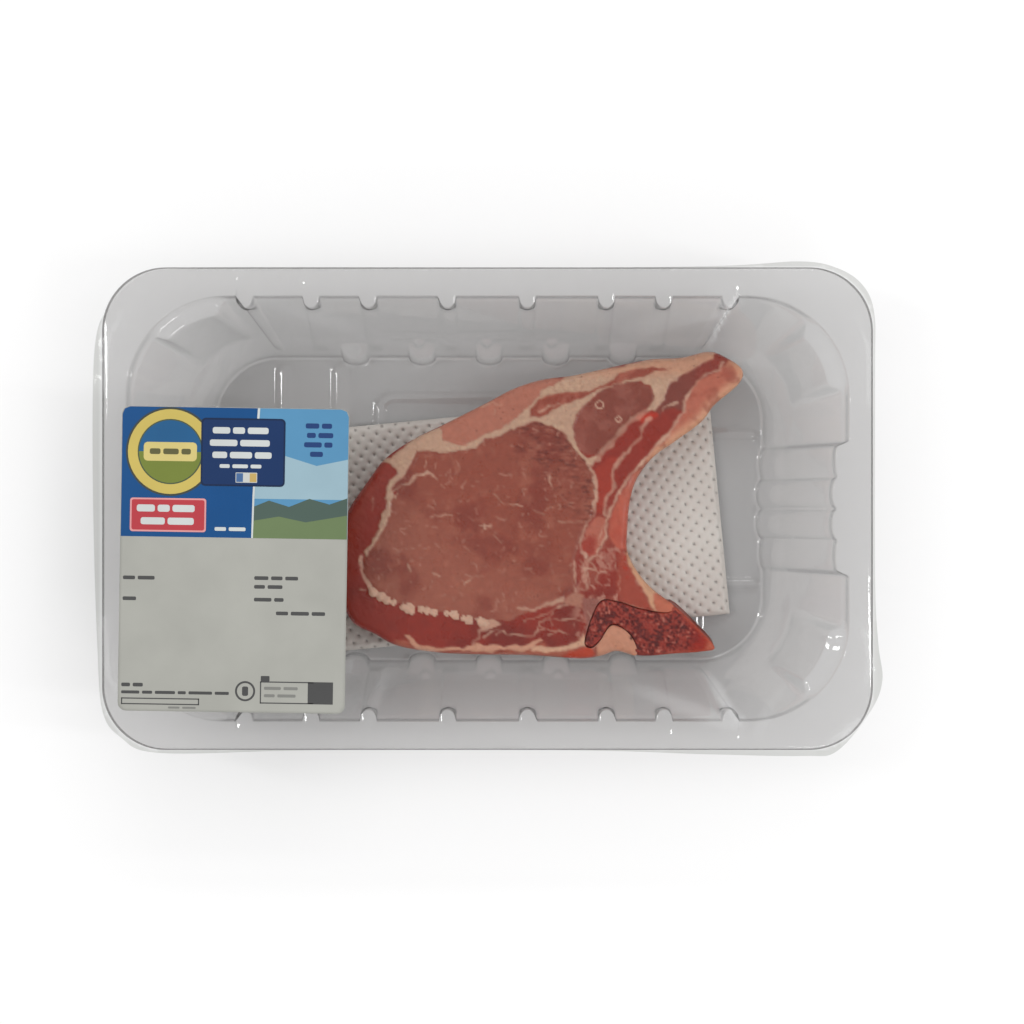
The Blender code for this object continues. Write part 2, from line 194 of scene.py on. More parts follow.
def segment_distance(points, line, closed=False):
    """Distance from each point to a drawn line, and how far along it the nearest place lies."""
    line = np.asarray(line, float)
    ends = np.roll(line, -1, axis=0) if closed else line[1:]
    best, along, walked = np.full(len(points), 1e9), np.zeros(len(points)), 0.0
    for start, end in zip(line, ends):
        span = end - start
        length = max(float(span @ span), 1e-12)
        share = np.clip(((points - start) @ span) / length, 0, 1)
        away = np.linalg.norm(points - start - share[:, None] * span, axis=1)
        nearer = away < best
        best = np.where(nearer, away, best)
        along = np.where(nearer, walked + share * math.sqrt(length), along)
        walked += math.sqrt(length)
    return best, along


def signed(points, outline):
    """Distance to a closed outline, below zero inside it."""
    outline = np.asarray(outline, float)
    inside = np.zeros(len(points), bool)
    x, y = points[:, 0], points[:, 1]
    for (x1, y1), (x2, y2) in zip(outline, np.roll(outline, -1, axis=0)):
        if y1 != y2:
            crossing = (y1 > y) != (y2 > y)
            inside ^= crossing & (x < (x2 - x1) * (y - y1) / (y2 - y1) + x1)
    return np.where(inside, -1.0, 1.0) * segment_distance(points, outline, True)[0]


def box_distance(points, centre, half, radius):
    """Distance to a rectangle with round corners, below zero inside it."""
    gap = np.abs(points - np.array(centre)) - (np.array(half) - radius)
    return np.linalg.norm(np.clip(gap, 0, None), axis=1) + np.clip(gap.max(1), None, 0) - radius


def side_stops(half, features):
    """Places along a side: every 1.5 mm, and every 0.4 mm where a bump or a flute is."""
    stops = set(np.round(np.linspace(-half, half, int(half / 0.75)), 3))
    for centre, reach in features:
        stops.update(np.round(np.arange(centre - reach, centre + reach + 0.01, 0.4), 3))
    kept = []
    for stop in sorted(stops):
        if -half <= stop <= half and (not kept or stop - kept[-1] > 0.25):
            kept.append(stop)
    return np.array(kept)


def slid(stops, fixed, top_half, half):
    """Stops drawn in towards the corners lower on the wall, and unmoved in the middle."""
    size = np.abs(stops)
    far = fixed + (size - fixed) * (half - fixed) / (top_half - fixed)
    return np.copysign(np.where(size > fixed, far, size), stops)


def wall_bumps(x, level, foot):
    flute = FLUTE_DEPTH + (BUMP_DEPTH - FLUTE_DEPTH) * (1 - ramp(level, 0.03, 0.2))
    inward = np.max([flute * (1 - foot) * dome(np.abs(x) - c, BUMP_HALF) for c in BUMP_AT], axis=0)
    pillar = np.max([dome(x - c, PILLAR_HALF) for c in PILLAR_AT], axis=0)
    rise = (level - DOT_LEVEL) * 33.0
    each_dot = [np.sqrt(np.clip(1 - ((x - c) ** 2 + rise**2) / DOT_RADIUS**2, 0, None)) for c in DOT_AT]
    dots = np.max(each_dot, axis=0)
    return inward + PILLAR_DEPTH * foot * pillar + DOT_RISE * dots


def end_flutes(y, level):
    edge = LOBE_AT[-1] + LOBE_HALF
    base = LOBE_BASE_TOP + (LOBE_BASE_FLOOR - LOBE_BASE_TOP) * level
    base = base * (1 - ramp(np.abs(y), edge - 0.4, edge + 1.6))
    return base + np.max([d * dome(y - c, LOBE_HALF) for c, d in zip(LOBE_AT, LOBE_DEPTH)], axis=0)


LONG_STOPS = side_stops(
    OPENING_X - OPENING_RADIUS,
    [(s * c, BUMP_HALF + 0.4) for s in (-1, 1) for c in BUMP_AT]
    + [(c, PILLAR_HALF + 0.4) for c in PILLAR_AT] + [(c, DOT_RADIUS + 0.4) for c in DOT_AT],
)
END_STOPS = side_stops(OPENING_Y - OPENING_RADIUS, [(c, LOBE_HALF + 1.6) for c in LOBE_AT])
CORNER_TURNS = np.linspace(2.5, 87.5, 35)


def tray_ring(level, height, inset=0.0):
    """The sheet's outline at one level, anticlockwise from the left end of the lower long side."""
    on_rim = level < 0
    if on_rim:
        half_x, half_y, radius = LENGTH / 2 - inset, WIDTH / 2 - inset, RIM_RADIUS - inset
    else:
        half_x = OPENING_X + (FLOOR_X - OPENING_X) * level
        half_y = OPENING_Y + (FLOOR_Y - OPENING_Y) * level
        radius = OPENING_RADIUS + (FLOOR_RADIUS - OPENING_RADIUS) * level
    run_x, run_y = half_x - radius, half_y - radius
    foot = 0.0 if on_rim else float(ramp(level, 0.74, 0.9))
    shelf = 0.0 if on_rim else float(np.interp(level, (0.03, 0.06, 0.12, 0.66), (0, 1, 0.92, 0)))
    points = []
    for side in (-1, 1):
        x = slid(LONG_STOPS, RIM_FIXED_X if on_rim else FIXED_X, OPENING_X - OPENING_RADIUS, run_x)
        inward = 0 * x if on_rim else wall_bumps(LONG_STOPS, level, foot)
        points += list(zip(-side * x, side * (half_y - inward)))
        for start, low_half in ((270, False), (0, True)) if side < 0 else ((90, True), (180, False)):
            # on the right the ledge lies by the end wall, on the left by the long wall
            share = 1 - ramp(CORNER_TURNS, 46, 52) if low_half else ramp(CORNER_TURNS, 38, 44)
            share = share * ramp(CORNER_TURNS, 3, 9) * (1 - ramp(CORNER_TURNS, 81, 87))
            reach = radius - SHELF * shelf * share
            angle = np.radians(start + CORNER_TURNS)
            side_x, side_y = np.sign(np.cos(np.radians(start + 45))), np.sign(np.sin(np.radians(start + 45)))
            points += list(zip(side_x * run_x + reach * np.cos(angle),
                    side_y * run_y + reach * np.sin(angle)))
            if start in (270, 90):
                y = slid(END_STOPS, FIXED_Y, OPENING_Y - OPENING_RADIUS, run_y)
                inward = 0 * y if on_rim else end_flutes(END_STOPS, level)
                points += list(zip(-side * (half_x - inward), -side * y))
    return np.array([(x, y, height) for x, y in points])


def floor_height(points):
    """Raised ribs: a frame round the middle, two straight ribs at each side, and short ones at the ends."""
    rise = np.zeros(len(points))

    def add_rib(distance):
        np.maximum(rise, RIB_RISE * (1 - ramp(distance, -RIB_EDGE, 0.1)), out=rise)

    outer = box_distance(points, (0, 0), (FRAME_X, FRAME_Y), FRAME_RADIUS)
    add_rib(np.maximum(outer, -outer - FRAME_WIDTH))
    for side in (-1, 1):
        for x in RIB_X:
            half = (RIB_WIDTH / 2, RIB_REACH + RIB_WIDTH / 2)
            add_rib(box_distance(points, (side * x, 0), half, RIB_WIDTH / 2))
        for side_y in (-1, 1):
            middle, half = side * (END_RIB_FROM + END_RIB_TO) / 2, (END_RIB_TO - END_RIB_FROM) / 2
            add_rib(box_distance(points, (middle, side_y * END_RIB_Y), (half, END_RIB_WIDTH / 2), 1.7))
    return rise


def clear_sheet(name, light_by, shine, roughness, haze=0.0, glint_attribute=None):
    """A thin clear sheet: light passes with a tint, more so at a slant, and its surface glints. White mixed in
    along a named attribute is painted highlight.
    """
    made, node = blank(name)
    facing = node("ShaderNodeLayerWeight", _0=0.5).outputs["Facing"]
    slant = node("ShaderNodeMath", {"operation": "POWER"}, _0=facing, _1=2.6).outputs[0]
    edge = tuple(value**6 for value in light_by)
    tint = node(
        "ShaderNodeMix", {"data_type": "RGBA"}, Factor=slant, _6=(*light_by, 1), _7=(*edge, 1)
    ).outputs[2]
    if glint_attribute:
        layers = node("ShaderNodeAttribute", {"attribute_name": "layers"}).outputs["Fac"]
        tint = node("ShaderNodeMix", {"data_type": "RGBA"}, Factor=layers, _6=tint, _7=DOUBLE_FILM).outputs[2]
    clear = node("ShaderNodeBsdfTransparent", Color=tint)
    place = node("ShaderNodeTexCoord").outputs["Object"]
    ripple = node("ShaderNodeTexNoise", Vector=place, Scale=70.0, Detail=3.0, Roughness=0.5)
    dent = node("ShaderNodeBump", Strength=0.22, Distance=0.0006, Height=ripple.outputs[0])
    smooth = node(
        "ShaderNodeMapRange", Value=ripple.outputs[0], From_Min=0.3, From_Max=0.7,
        To_Min=roughness * 0.6, To_Max=roughness * 1.5,
    )
    gloss = node("ShaderNodeBsdfGlossy", Roughness=smooth.outputs[0], Normal=dent.outputs[0])
    steep = node("ShaderNodeMath", {"operation": "POWER"}, _0=facing, _1=4.0).outputs[0]
    mirror = node("ShaderNodeMapRange", Value=steep, To_Min=shine, To_Max=shine + 0.4).outputs[0]
    surface = node("ShaderNodeMixShader", _0=mirror, _1=clear.outputs[0], _2=gloss.outputs[0]).outputs[0]
    # white diffuse mixed in: haze over the whole sheet, and painted highlights where the named attribute is
    # set
    if haze or glint_attribute:
        haze_and_painted_glint = node("ShaderNodeBsdfDiffuse", Color=(0.9, 0.9, 0.9, 1))
        share = haze
        if glint_attribute:
            marks = node("ShaderNodeAttribute", {"attribute_name": glint_attribute}).outputs["Fac"]
            share = node("ShaderNodeMath", {"operation": "ADD"}, _0=marks, _1=haze).outputs[0]
        surface = node("ShaderNodeMixShader", _0=share, _1=surface, _2=haze_and_painted_glint.outputs[0]).outputs[0]
    node("ShaderNodeOutputMaterial", Surface=surface)
    return made


rings = [tray_ring(-1, height, inset) for inset, height in EDGE_STEPS]
levels = sorted(
    {0.0, 0.006, 0.015, 0.028, 0.04, 0.052, 0.064, 0.077, 0.09, 0.105, 0.12, 0.14, 0.165, 0.2, 0.25, 0.31,
    0.37, 0.43,
     0.49, 0.55, 0.61, 0.66, *np.round(np.arange(0.68, 1.001, 0.02), 3)}
)
for level in levels:
    height = float(np.interp(level, WALL_LEVELS, WALL_HEIGHTS))
    if level < 0.03:
        height = HEIGHT - 2.0 * float(ramp(level, 0, 0.05)) ** 1.2
    rings.append(tray_ring(level, height))
ring_count = len(rings[0])
points = np.vstack(rings)
faces = []
for row in range(len(rings) - 1):
    for place in range(ring_count):
        after = (place + 1) % ring_count
        faces.append((row * ring_count + place, row * ring_count + after,
                      (row + 1) * ring_count + after, (row + 1) * ring_count + place))
floor_points, floor_faces = filled(rings[-1][:, :2], 0.85)
floor_rise = floor_height(floor_points)
floor_rise[:ring_count] = 0.0
base = len(points)
points = np.vstack((points,
        np.column_stack((floor_points[ring_count:], FLOOR_TOP + floor_rise[ring_count:]))))
faces += [tuple(base - ring_count + index for index in face) for face in floor_faces]
# the tray's tint carries painted shade: the dim table seen through the clear sheet
tray = mesh_piece("clear_tray", points, faces, clear_sheet("clear_plastic", PLASTIC_PASS_WITH_PAINTED_SHADE, 0.085, 0.045))
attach(tray, "root")
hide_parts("tray")

# ---------------------------------------------------------------- pad
# The absorbent pad is a white perforated film over cellulose, embossed with a slanting lattice of small pits.
# It lies loose on the floor's ribs, turned a little, and its cut edges are thin.

PAD_SIZE, PAD_CENTRE, PAD_TURN = (128.0, 70.6), (9.4, -4.3), math.radians(5.5)
PAD_BOTTOM, PAD_THICK = 2.35, 1.5
PIT_STEP_A, PIT_STEP_B = (2.37, -2.03), (1.87, 2.25)  # from one pit to its two neighbours
PIT_RADIUS, PIT_DEPTH, PILLOW = 0.55, 0.55, 0.2


def colour(red, green, blue):
    """Linear values of a colour given as it is seen, 0 to 255."""
    linear = [((c / 255 + 0.055) / 1.055) ** 2.4 if c > 10 else c / 255 / 12.92 for c in (red, green, blue)]
    return (*linear, 1.0)


def pit_distance(points):
    """Distance from each point to the nearest pit of the lattice."""
    lattice = np.array((PIT_STEP_A, PIT_STEP_B))
    whole = points @ np.linalg.inv(lattice)
    nearest = (whole - np.round(whole)) @ lattice
    return np.linalg.norm(nearest, axis=1)


def pad_white():
    made, node = blank("pad_white")
    place = node("ShaderNodeTexCoord").outputs["Object"]
    fibre = node("ShaderNodeTexNoise", Vector=place, Scale=900.0, Detail=2.0)
    patchy = node("ShaderNodeTexNoise", Vector=place, Scale=45.0, Detail=3.0)
    pit = node("ShaderNodeAttribute", {"attribute_name": "pit"}).outputs["Fac"]
    shade = node(
        "ShaderNodeMapRange", Value=patchy.outputs[0], From_Min=0.3, From_Max=0.7, To_Min=0.0, To_Max=1.0
    )
    paper = node("ShaderNodeMix", {"data_type": "RGBA"}, Factor=shade.outputs[0],
                 _6=colour(202, 194, 187), _7=colour(214, 208, 201)).outputs[2]
    # the pits are painted darker: painted shade in the embossed pits
    paper_with_pit_shade = node(
        "ShaderNodeMix", {"data_type": "RGBA"}, Factor=pit, _6=paper, _7=colour(120, 112, 108)
    ).outputs[2]
    grain = node("ShaderNodeBump", Strength=0.25, Distance=0.0002, Height=fibre.outputs[0])
    paint = node("ShaderNodeBsdfPrincipled", Base_Color=paper_with_pit_shade, Roughness=0.42, Normal=grain.outputs[0])
    node("ShaderNodeOutputMaterial", Surface=paint.outputs[0])
    return made


half_x, half_y = PAD_SIZE[0] / 2, PAD_SIZE[1] / 2
edge = [(x, -half_y) for x in np.arange(-half_x, half_x, 0.8)]
edge += [(half_x, y) for y in np.arange(-half_y, half_y, 0.8)]
edge += [(x, half_y) for x in np.arange(half_x, -half_x, -0.8)]
edge += [(-half_x, y) for y in np.arange(half_y, -half_y, -0.8)]
flat, pad_faces = filled(edge, 0.44)
away = pit_distance(flat)
inward = -box_distance(flat, (0, 0), (half_x, half_y), 0.01)
rise = PILLOW * ramp(away, 0.5, 1.5) - PIT_DEPTH * (1 - ramp(away, 0.1, PIT_RADIUS + 0.15))
top = PAD_BOTTOM + PAD_THICK + rise * ramp(inward, 0, 0.8) - 0.9 * (1 - ramp(inward, 0, 1.6))
edge_count = len(edge)
below = np.column_stack((flat, np.full(len(flat), PAD_BOTTOM)))[:edge_count]
points = np.vstack((np.column_stack((flat, top)), below))
first_below = len(flat)
faces = [tuple(face) for face in pad_faces]
for place in range(edge_count):
    after = (place + 1) % edge_count
    faces.append((first_below + place, first_below + after, after, place))
faces.append(tuple(range(first_below + edge_count - 1, first_below - 1, -1)))
cos, sin = math.cos(PAD_TURN), math.sin(PAD_TURN)
points[:, :2] = points[:, :2] @ np.array(((cos, sin), (-sin, cos))) + np.array(PAD_CENTRE)
# how much painted shade each pit gets
pit_shade = np.concatenate(((1 - ramp(away, 0.2, PIT_RADIUS)) * ramp(inward, 0, 0.6) * 0.85, np.zeros(edge_count)))
pad = mesh_piece("absorbent_pad", points, faces, pad_white(), values={"pit": pit_shade})
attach(pad, "root")
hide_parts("pad")

# ---------------------------------------------------------------- chop
# The chop is one raw slice of loin, sawn across: a large pale eye of meat, a cap muscle and rib meat round it,
# held by seams of cream fat and thin white skins, with a round muscle and the rib's meat to the right.
# The sawn face is nearly flat, moist and softly glossy; the rind side is a wavy edge of fat.

CHOP_BOTTOM, CHOP_TOP = 4.2, 19.8
CHOP_OUTLINE = (
    # anticlockwise from the rib's end, with a bay where the bone sits
    (78.5, 43), (73.5, 46.8), (68, 48.6), (60, 46.8), (50, 46.2), (40, 44.2), (26, 41.2), (17, 40), (8, 37.2),
    (-2, 32), (-14, 26), (-23, 21.6), (-32, 15.4), (-38, 7.5), (-43.5, -1), (-46.5, -12), (-46.5, -24),
    (-42.5, -34.5), (-35, -38.8), (-28, -42.4), (-16, -44.4), (-4, -45), (13, -45.3), (28, -46.3),
    (35, -45.4),
    (39.5, -44), (45.6, -45.1), (44.62, -40.25), (41.12, -36.72), (37.6, -36.14), (34.25, -40.95),
    (31.45, -42.95),
    (29.65, -40.4), (33.9, -29), (39.4, -28.4), (47, -30.7), (55, -31.9), (57, -29.8), (51, -25),
    (46.5, -20), (43, -13), (43, -6), (43.8, 2.5), (46, 9.4), (51, 16), (58, 21), (66, 27), (70, 32.2),
    (77.4, 38.6),
)
SIDE_RINGS = ((2.2, 0.25), (6.0, 0.0), (11.0, 0.3), (13.8, 1.2), (15.2, 2.6))  # down from the edge, set in

# Outlines of the muscles and fat on the sawn face, in millimetres
FAT = (
    (-33.9, 15.4), (-29.6, 15.8), (-26.7, 18.8), (-23.8, 20.9), (-22.2, 22.7), (-19.3, 23.4), (-15, 25.4),
    (-14, 21.1), (-11.1, 20.3), (-7, 19.3), (-2.9, 22), (3.6, 24.5), (9, 28.2), (12.6, 31.5), (15.5, 34.4),
    (16.3, 36.7), (20, 37.9), (22.6, 39.7), (25.7, 42), (28.2, 42.8), (34.3, 43.6), (40.5, 43.8),
    (45.4, 45.1),
    (50.7, 47.1), (56.9, 47.9), (63.8, 47.5), (65, 48.6), (67.9, 49.8), (70, 48.8), (69.1, 46.3),
    (64.2, 43.8),
    (62.2, 42.2), (58.9, 40.6), (56.4, 38.9), (54.8, 36.5), (54, 33.6), (51.1, 30.3), (48.7, 29.9),
    (50.7, 34.4), (49.9, 37.7), (47, 39.3), (40.5, 38.5), (35.5, 36.5), (32.3, 34.4), (29.4, 31.1),
    (27.3, 28.3), (26.3, 25), (26.7, 21.3), (28.2, 17.6), (30.6, 15.6), (33.5, 16), (32.3, 13.1),
    (30.6, 13.9),
    (27.8, 16.8), (25.3, 20.1), (23.7, 22.9), (20, 25.2), (15.9, 26.4), (14.3, 26.8), (9, 25.2), (4, 22.7),
    (-1.3, 21.1), (-4.2, 18.8), (-8.7, 18), (-12.4, 17.4), (-16.9, 17.2), (-21.8, 17.8), (-22.6, 16),
    (-24.6, 12.7), (-25.9, 10.2), (-27.9, 8.6), (-30, 6.6), (-28.7, 2.7), (-27.9, 4.9), (-30, 2.5),
    (-30.2, -2.1), (-32, -5.7), (-33.5, -8.6), (-36.9, -13.1), (-37.8, -14.8), (-38.4, -13.5), (-35.3, -9.4),
    (-33.9, -6.6), (-32.8, -2.5), (-31.2, 1.6), (-31.4, 5.7), (-31.5, 6.1), (-30.4, 8.4), (-27.9, 11.1),
    (-30, 13.5),
)
CAP = (
    (-15.4, 26.2), (-7.4, 30.3), (0.8, 34.4), (9, 38.7), (18.4, 41.2), (19.6, 41.3), (22.6, 40), (20, 37.9),
    (16.3, 36.7), (15.5, 34.4), (12.6, 31.5), (9, 28.2), (3.6, 24.5), (-2.9, 22), (-5, 19.5), (-7, 19.1),
    (-11.1, 20.3), (-14, 20.9),
)
WEDGE = (
    (13.1, 28.1), (12.6, 30.3), (15.1, 33.2), (19.1, 35.2), (22, 35.6), (25.3, 35.9), (29.4, 36.1),
    (33.1, 37),
    (36.4, 38.3), (38.8, 40.6), (42.1, 42), (45.4, 43), (50.7, 43.6), (56.4, 43.3), (51.1, 42.1),
    (48.7, 40.9),
    (44.6, 40.1), (40.5, 38.9), (36.4, 37.4), (33.5, 36.4), (30.2, 34.7), (27.8, 33.6), (24.1, 32.4),
    (20.8, 31.1), (18.3, 29.3), (15.9, 28.2),
)
EYE = (
    (-21.8, 17.6), (-16.9, 17), (-12.4, 17.2), (-8.7, 17.8), (-4.2, 18.6), (-1.3, 20.9), (4, 22.5), (9, 25),
    (14.3, 26.6), (16.3, 26.2), (20, 25), (23.7, 22.7), (25.3, 19.9), (27.8, 16.6), (30.6, 13.7),
    (32.3, 11.1),
    (33.3, 7), (33.1, 2.7), (32.9, 2.5), (32.3, -2.5), (29.4, -6.2), (28, -10.7), (27.8, -12.7),
    (26.7, -16.8),
    (26.7, -25), (22.8, -27.9), (17.2, -30.3), (11, -32.4), (6.1, -34.8), (1.2, -34.2), (-3.7, -33.8),
    (-6.2, -33.2), (-10.7, -32.2), (-16.9, -31.4), (-22.6, -30.3), (-28.3, -29.1), (-32, -26.6),
    (-35.7, -24.2), (-37.4, -22.5), (-38.8, -18.9), (-38.6, -15.2), (-36.9, -13.1), (-33.5, -8.6),
    (-32, -5.7),
    (-30.2, -2.1), (-30, 2.5), (-27.9, 4.9), (-30, 6.6), (-27.9, 8.6), (-25.9, 10.2), (-24.6, 12.7),
    (-22.6, 16),
)
ROUND = (
    (32.3, 34), (35.1, 36.5), (38.8, 38.1), (45.4, 39.3), (48.7, 38.1), (50.7, 36.1), (51.1, 34),
    (49.5, 31.5),
    (47.8, 30.3), (45.4, 28.7), (44.1, 27.5), (42.1, 25), (40.5, 22.9), (38, 20.5), (35.5, 17.6),
    (33.1, 16.4),
    (29.8, 16.8), (27.8, 18), (26.5, 21.3), (26.1, 25.4), (26.9, 28.7), (29, 31.1),
)
RIB_DARK = (
    (70.4, 48.8), (73.7, 47.5), (72.8, 44.3), (70.4, 42.2), (65, 39.7), (62.2, 36.1), (60.5, 34),
    (60.3, 30.3),
    (56.9, 31.1), (54.4, 30.3), (52.8, 28.7), (51.1, 30.3), (54, 33.6), (54.8, 36.5), (56.4, 38.9),
    (58.9, 40.6), (62.2, 42.2), (64.2, 43.8), (68.7, 46.3),
)
RIB_LIGHT = (
    (72.8, 44.3), (74.9, 46.7), (79.2, 44.3), (80.4, 41.8), (78.2, 37.3), (74.1, 33.4), (70.4, 30.3),
    (67.1, 26.2), (62.6, 22.7), (57.7, 20.1), (52.3, 16.2), (50.3, 14.1), (47.4, 10.6), (45.8, 7), (45, 2.7),
    (44.1, -0.4), (43.3, -9.8), (43.1, -12.7), (40.5, -12.3), (38, -10.7), (37.4, -6.6), (37.6, -2.5),
    (39.2, 1.2), (41.3, 5.3), (41.3, 4.5), (42.9, 7.8), (44.6, 10.2), (47.8, 14.3), (51.9, 19.3),
    (55.2, 22.5),
    (58.1, 26.6), (60.1, 29.5), (60.3, 33.2), (62.2, 36.1), (65, 39.7), (70.4, 42),
)
RED_PATCH = (
    (45.4, 28.3), (47.8, 29.3), (51.5, 29.7), (52.3, 28.7), (49.9, 27), (47, 26.8),
)
OVAL = (
    (33.9, -2.3), (36, -3.1), (36.4, -7.8), (35.1, -10.7), (33.1, -13.9), (31.4, -14.8), (29.4, -13.5),
    (28.6, -11.9), (29.4, -9.8), (30.2, -6.6), (32.3, -3.3),
)
OVAL_RED = (
    (31.4, -8.2), (33.1, -9), (33.1, -13.9), (31.4, -14.8), (29.4, -13.5), (28.6, -11.9), (29.4, -9.8),
)
STRIP_RED = (
    (33.5, 13.1), (37.2, 15.6), (40.5, 15.6), (38.8, 12.3), (38.2, 9), (38.6, 6.6), (37.4, 5.3), (36, 2.7),
    (36, 2), (35.5, -1.6), (33.5, -1.2), (33.1, 1.6), (33.3, 5.7), (33.5, 6.6), (32.7, 10.2),
)
PALE_PATCH = (
    (36.4, -11.9), (38.8, -12.3), (40, -17.2), (38.8, -18.9), (35.5, -18.9), (33.5, -17.2), (33.9, -13.9),
)
RIB_FOOT = (
    (40.5, -12.7), (42.5, -13.9), (43.1, -16.4), (45.4, -22.1), (48.2, -27.1), (51.1, -31.6), (45.4, -30.3),
    (42.5, -29.9), (40.5, -27.1), (39.6, -23), (40, -17.2),
)
EDGE_CREAM = (
    (42.9, -12.3), (44.6, -16.4), (47.4, -20.5), (51.1, -24.4), (53.8, -25.6), (51.3, -26.4), (50.9, -28.7),
    (52.1, -32), (50.3, -30.3), (48.7, -26.6), (46.2, -22.5), (44.6, -19.7), (42.7, -15.6),
)
EDGE_SALMON = (
    (51.3, -26.4), (53.8, -25.2), (57.3, -29.1), (60.1, -32), (63.8, -34.8), (66.7, -37.7), (70, -41),
    (71.2, -43), (68.7, -43.9), (66.3, -40.6), (64.2, -37.7), (60.9, -35.2), (56, -33.4), (52.8, -32.4),
    (51.5, -30.3), (50.9, -28.3),
)
PALE_MUSCLE = (
    (29, -27.1), (33.9, -27.7), (35.5, -31.2), (36.4, -33.6), (34.7, -36.1), (33.1, -38.5), (31.4, -41),
    (30.2, -40.2), (30.2, -34.8), (29.4, -31.2),
)
JOINT_FAT = (
    (15.9, -29.6), (21.2, -27.7), (23.2, -28.1), (26.5, -25.6), (29.4, -26.4), (28.6, -29.5), (29.6, -31.2),
    (26.5, -29.9), (22.4, -29.1), (15.9, -30.7),
)
SOLE_FAT = (
    (-25.7, -38.7), (-24.2, -38.9), (-22.2, -41.4), (-19.3, -42.4), (-15.6, -42.8), (-11.1, -42.6),
    (-7, -42.8), (-3.7, -41.4), (-1.3, -42), (2.4, -41.8), (4.9, -42.4), (9, -41.8), (11, -42.2), (16.3, -40),
    (16.9, -40.6), (11.4, -44.1), (6.9, -43.6), (4, -43.3), (1.2, -44.2), (-5.4, -43.8), (-11.1, -43.7),
    (-15.6, -43.9), (-17.7, -44.5), (-21, -44.5), (-22.6, -43.2), (-24.2, -41),
)
SOLE_FAT_RIGHT = (
    (13.4, -42.6), (15.9, -42.6), (20, -42.8), (24.1, -42.4), (28.2, -40.6), (29.4, -38.7), (30.8, -40.6),
    (30.6, -41.8), (26.1, -43.4), (20, -44.2), (15.9, -44.1), (13.4, -43.7),
)
SOLE_PEACH = (
    (-28.7, -40.6), (-25.1, -40.6), (-22.6, -43.2), (-17.7, -44.5), (-5.4, -43.8), (1.2, -44.2), (6.9, -43.6),
    (11.4, -44.1), (16.9, -41.4), (20, -44.2), (26.1, -43.4), (28.2, -43.9), (22.8, -45.3), (18.3, -47.5),
    (7.7, -47.5), (-17.7, -45.9), (-28.7, -43.4),
)
SOLE_RED = (
    (22.8, -45.1), (28.2, -43.4), (31, -41.8), (32.3, -43.4), (32.9, -47.1), (28.2, -47.1), (24.1, -46.5),
)
CARTILAGE = (
    (33.3, -47.1), (33.9, -41), (37.6, -35.7), (41.3, -36.7), (44.6, -38.5), (46.4, -41.4), (47.4, -47.1),
    (42.1, -45.1), (40, -44.5), (38, -45.5), (36.4, -47.1),
)
PALE_TRIANGLE = (
    (-4.2, -33.8), (1.2, -34.1), (4.2, -35.2), (1.2, -36.6), (-2.1, -37.1),
)
BRANCH = (
    (-31.5, 3.1), (-28.7, 6.1), (-24.6, 7.8), (-21.8, 10.2), (-18.5, 11.3), (-15.6, 9.2),
)
EYE_RIGHT = (
    (30.6, 13.9), (32.3, 11.1), (33.3, 7), (33.1, 2.7), (32.9, 2.5), (32.5, -2.1), (29.8, -5.3),
    (28.2, -10.7),
    (28.6, -13.1), (30, -14.8),
)
EYE_WALL = (
    (26.6, -16.4), (26.7, -25.4),
)
EYE_TWIG = (
    (21.6, -3.9), (24.1, -4.3), (30.2, -3.9),
)
EYE_FOOT = (
    (9, -30.7), (14.3, -31.2), (17.2, -29.9), (22, -28.3), (23.2, -27.5),
)
LEFT_LINE = (
    (-39.1, -14.8), (-38.9, -18.9), (-37.4, -22.5), (-35.7, -25.4),
)
FASCIA = (
    (72.2, 45.1), (71.2, 42.6), (67.1, 41.4), (65, 39.7), (62.2, 36.1), (60.3, 33.2), (60.1, 29.9),
    (58.1, 27),
    (55.2, 22.9), (51.9, 19.7), (47.8, 14.7), (44.6, 11.1), (42.1, 8.2), (40.5, 4.5), (40.5, 5.3), (38.8, 2),
    (36.8, -2.1), (36.2, -3.7), (36.4, -7.8), (35.1, -10.7), (33.5, -13.5),
)
FASCIA_INNER = (
    (49.9, 27.9), (47.4, 25.4), (47, 22.5), (44.1, 19.3), (40.5, 15.2), (38.8, 12.3), (38.2, 9), (38.8, 6.6),
    (37.6, 5.3), (36.2, 2.7), (36, 2), (36, -1.6),
)
RIB_TWIG = (
    (58.1, 32.6), (56, 32), (54.4, 31.1), (54, 30.1),
)
ROUND_EDGE = (
    (51.9, 37.3), (52.5, 34.4), (51.3, 31.1), (48.2, 29.9),
)
ROUND_SEAM = (
    (48.2, 29.9), (44.6, 27.5), (42.1, 25), (38.8, 21.3), (36, 18.4), (33.5, 15.6),
)
MEAT_LINE = (
    (1.2, -36.7), (-2.5, -37.5), (-3.3, -39.8), (-4.8, -41.6),
)
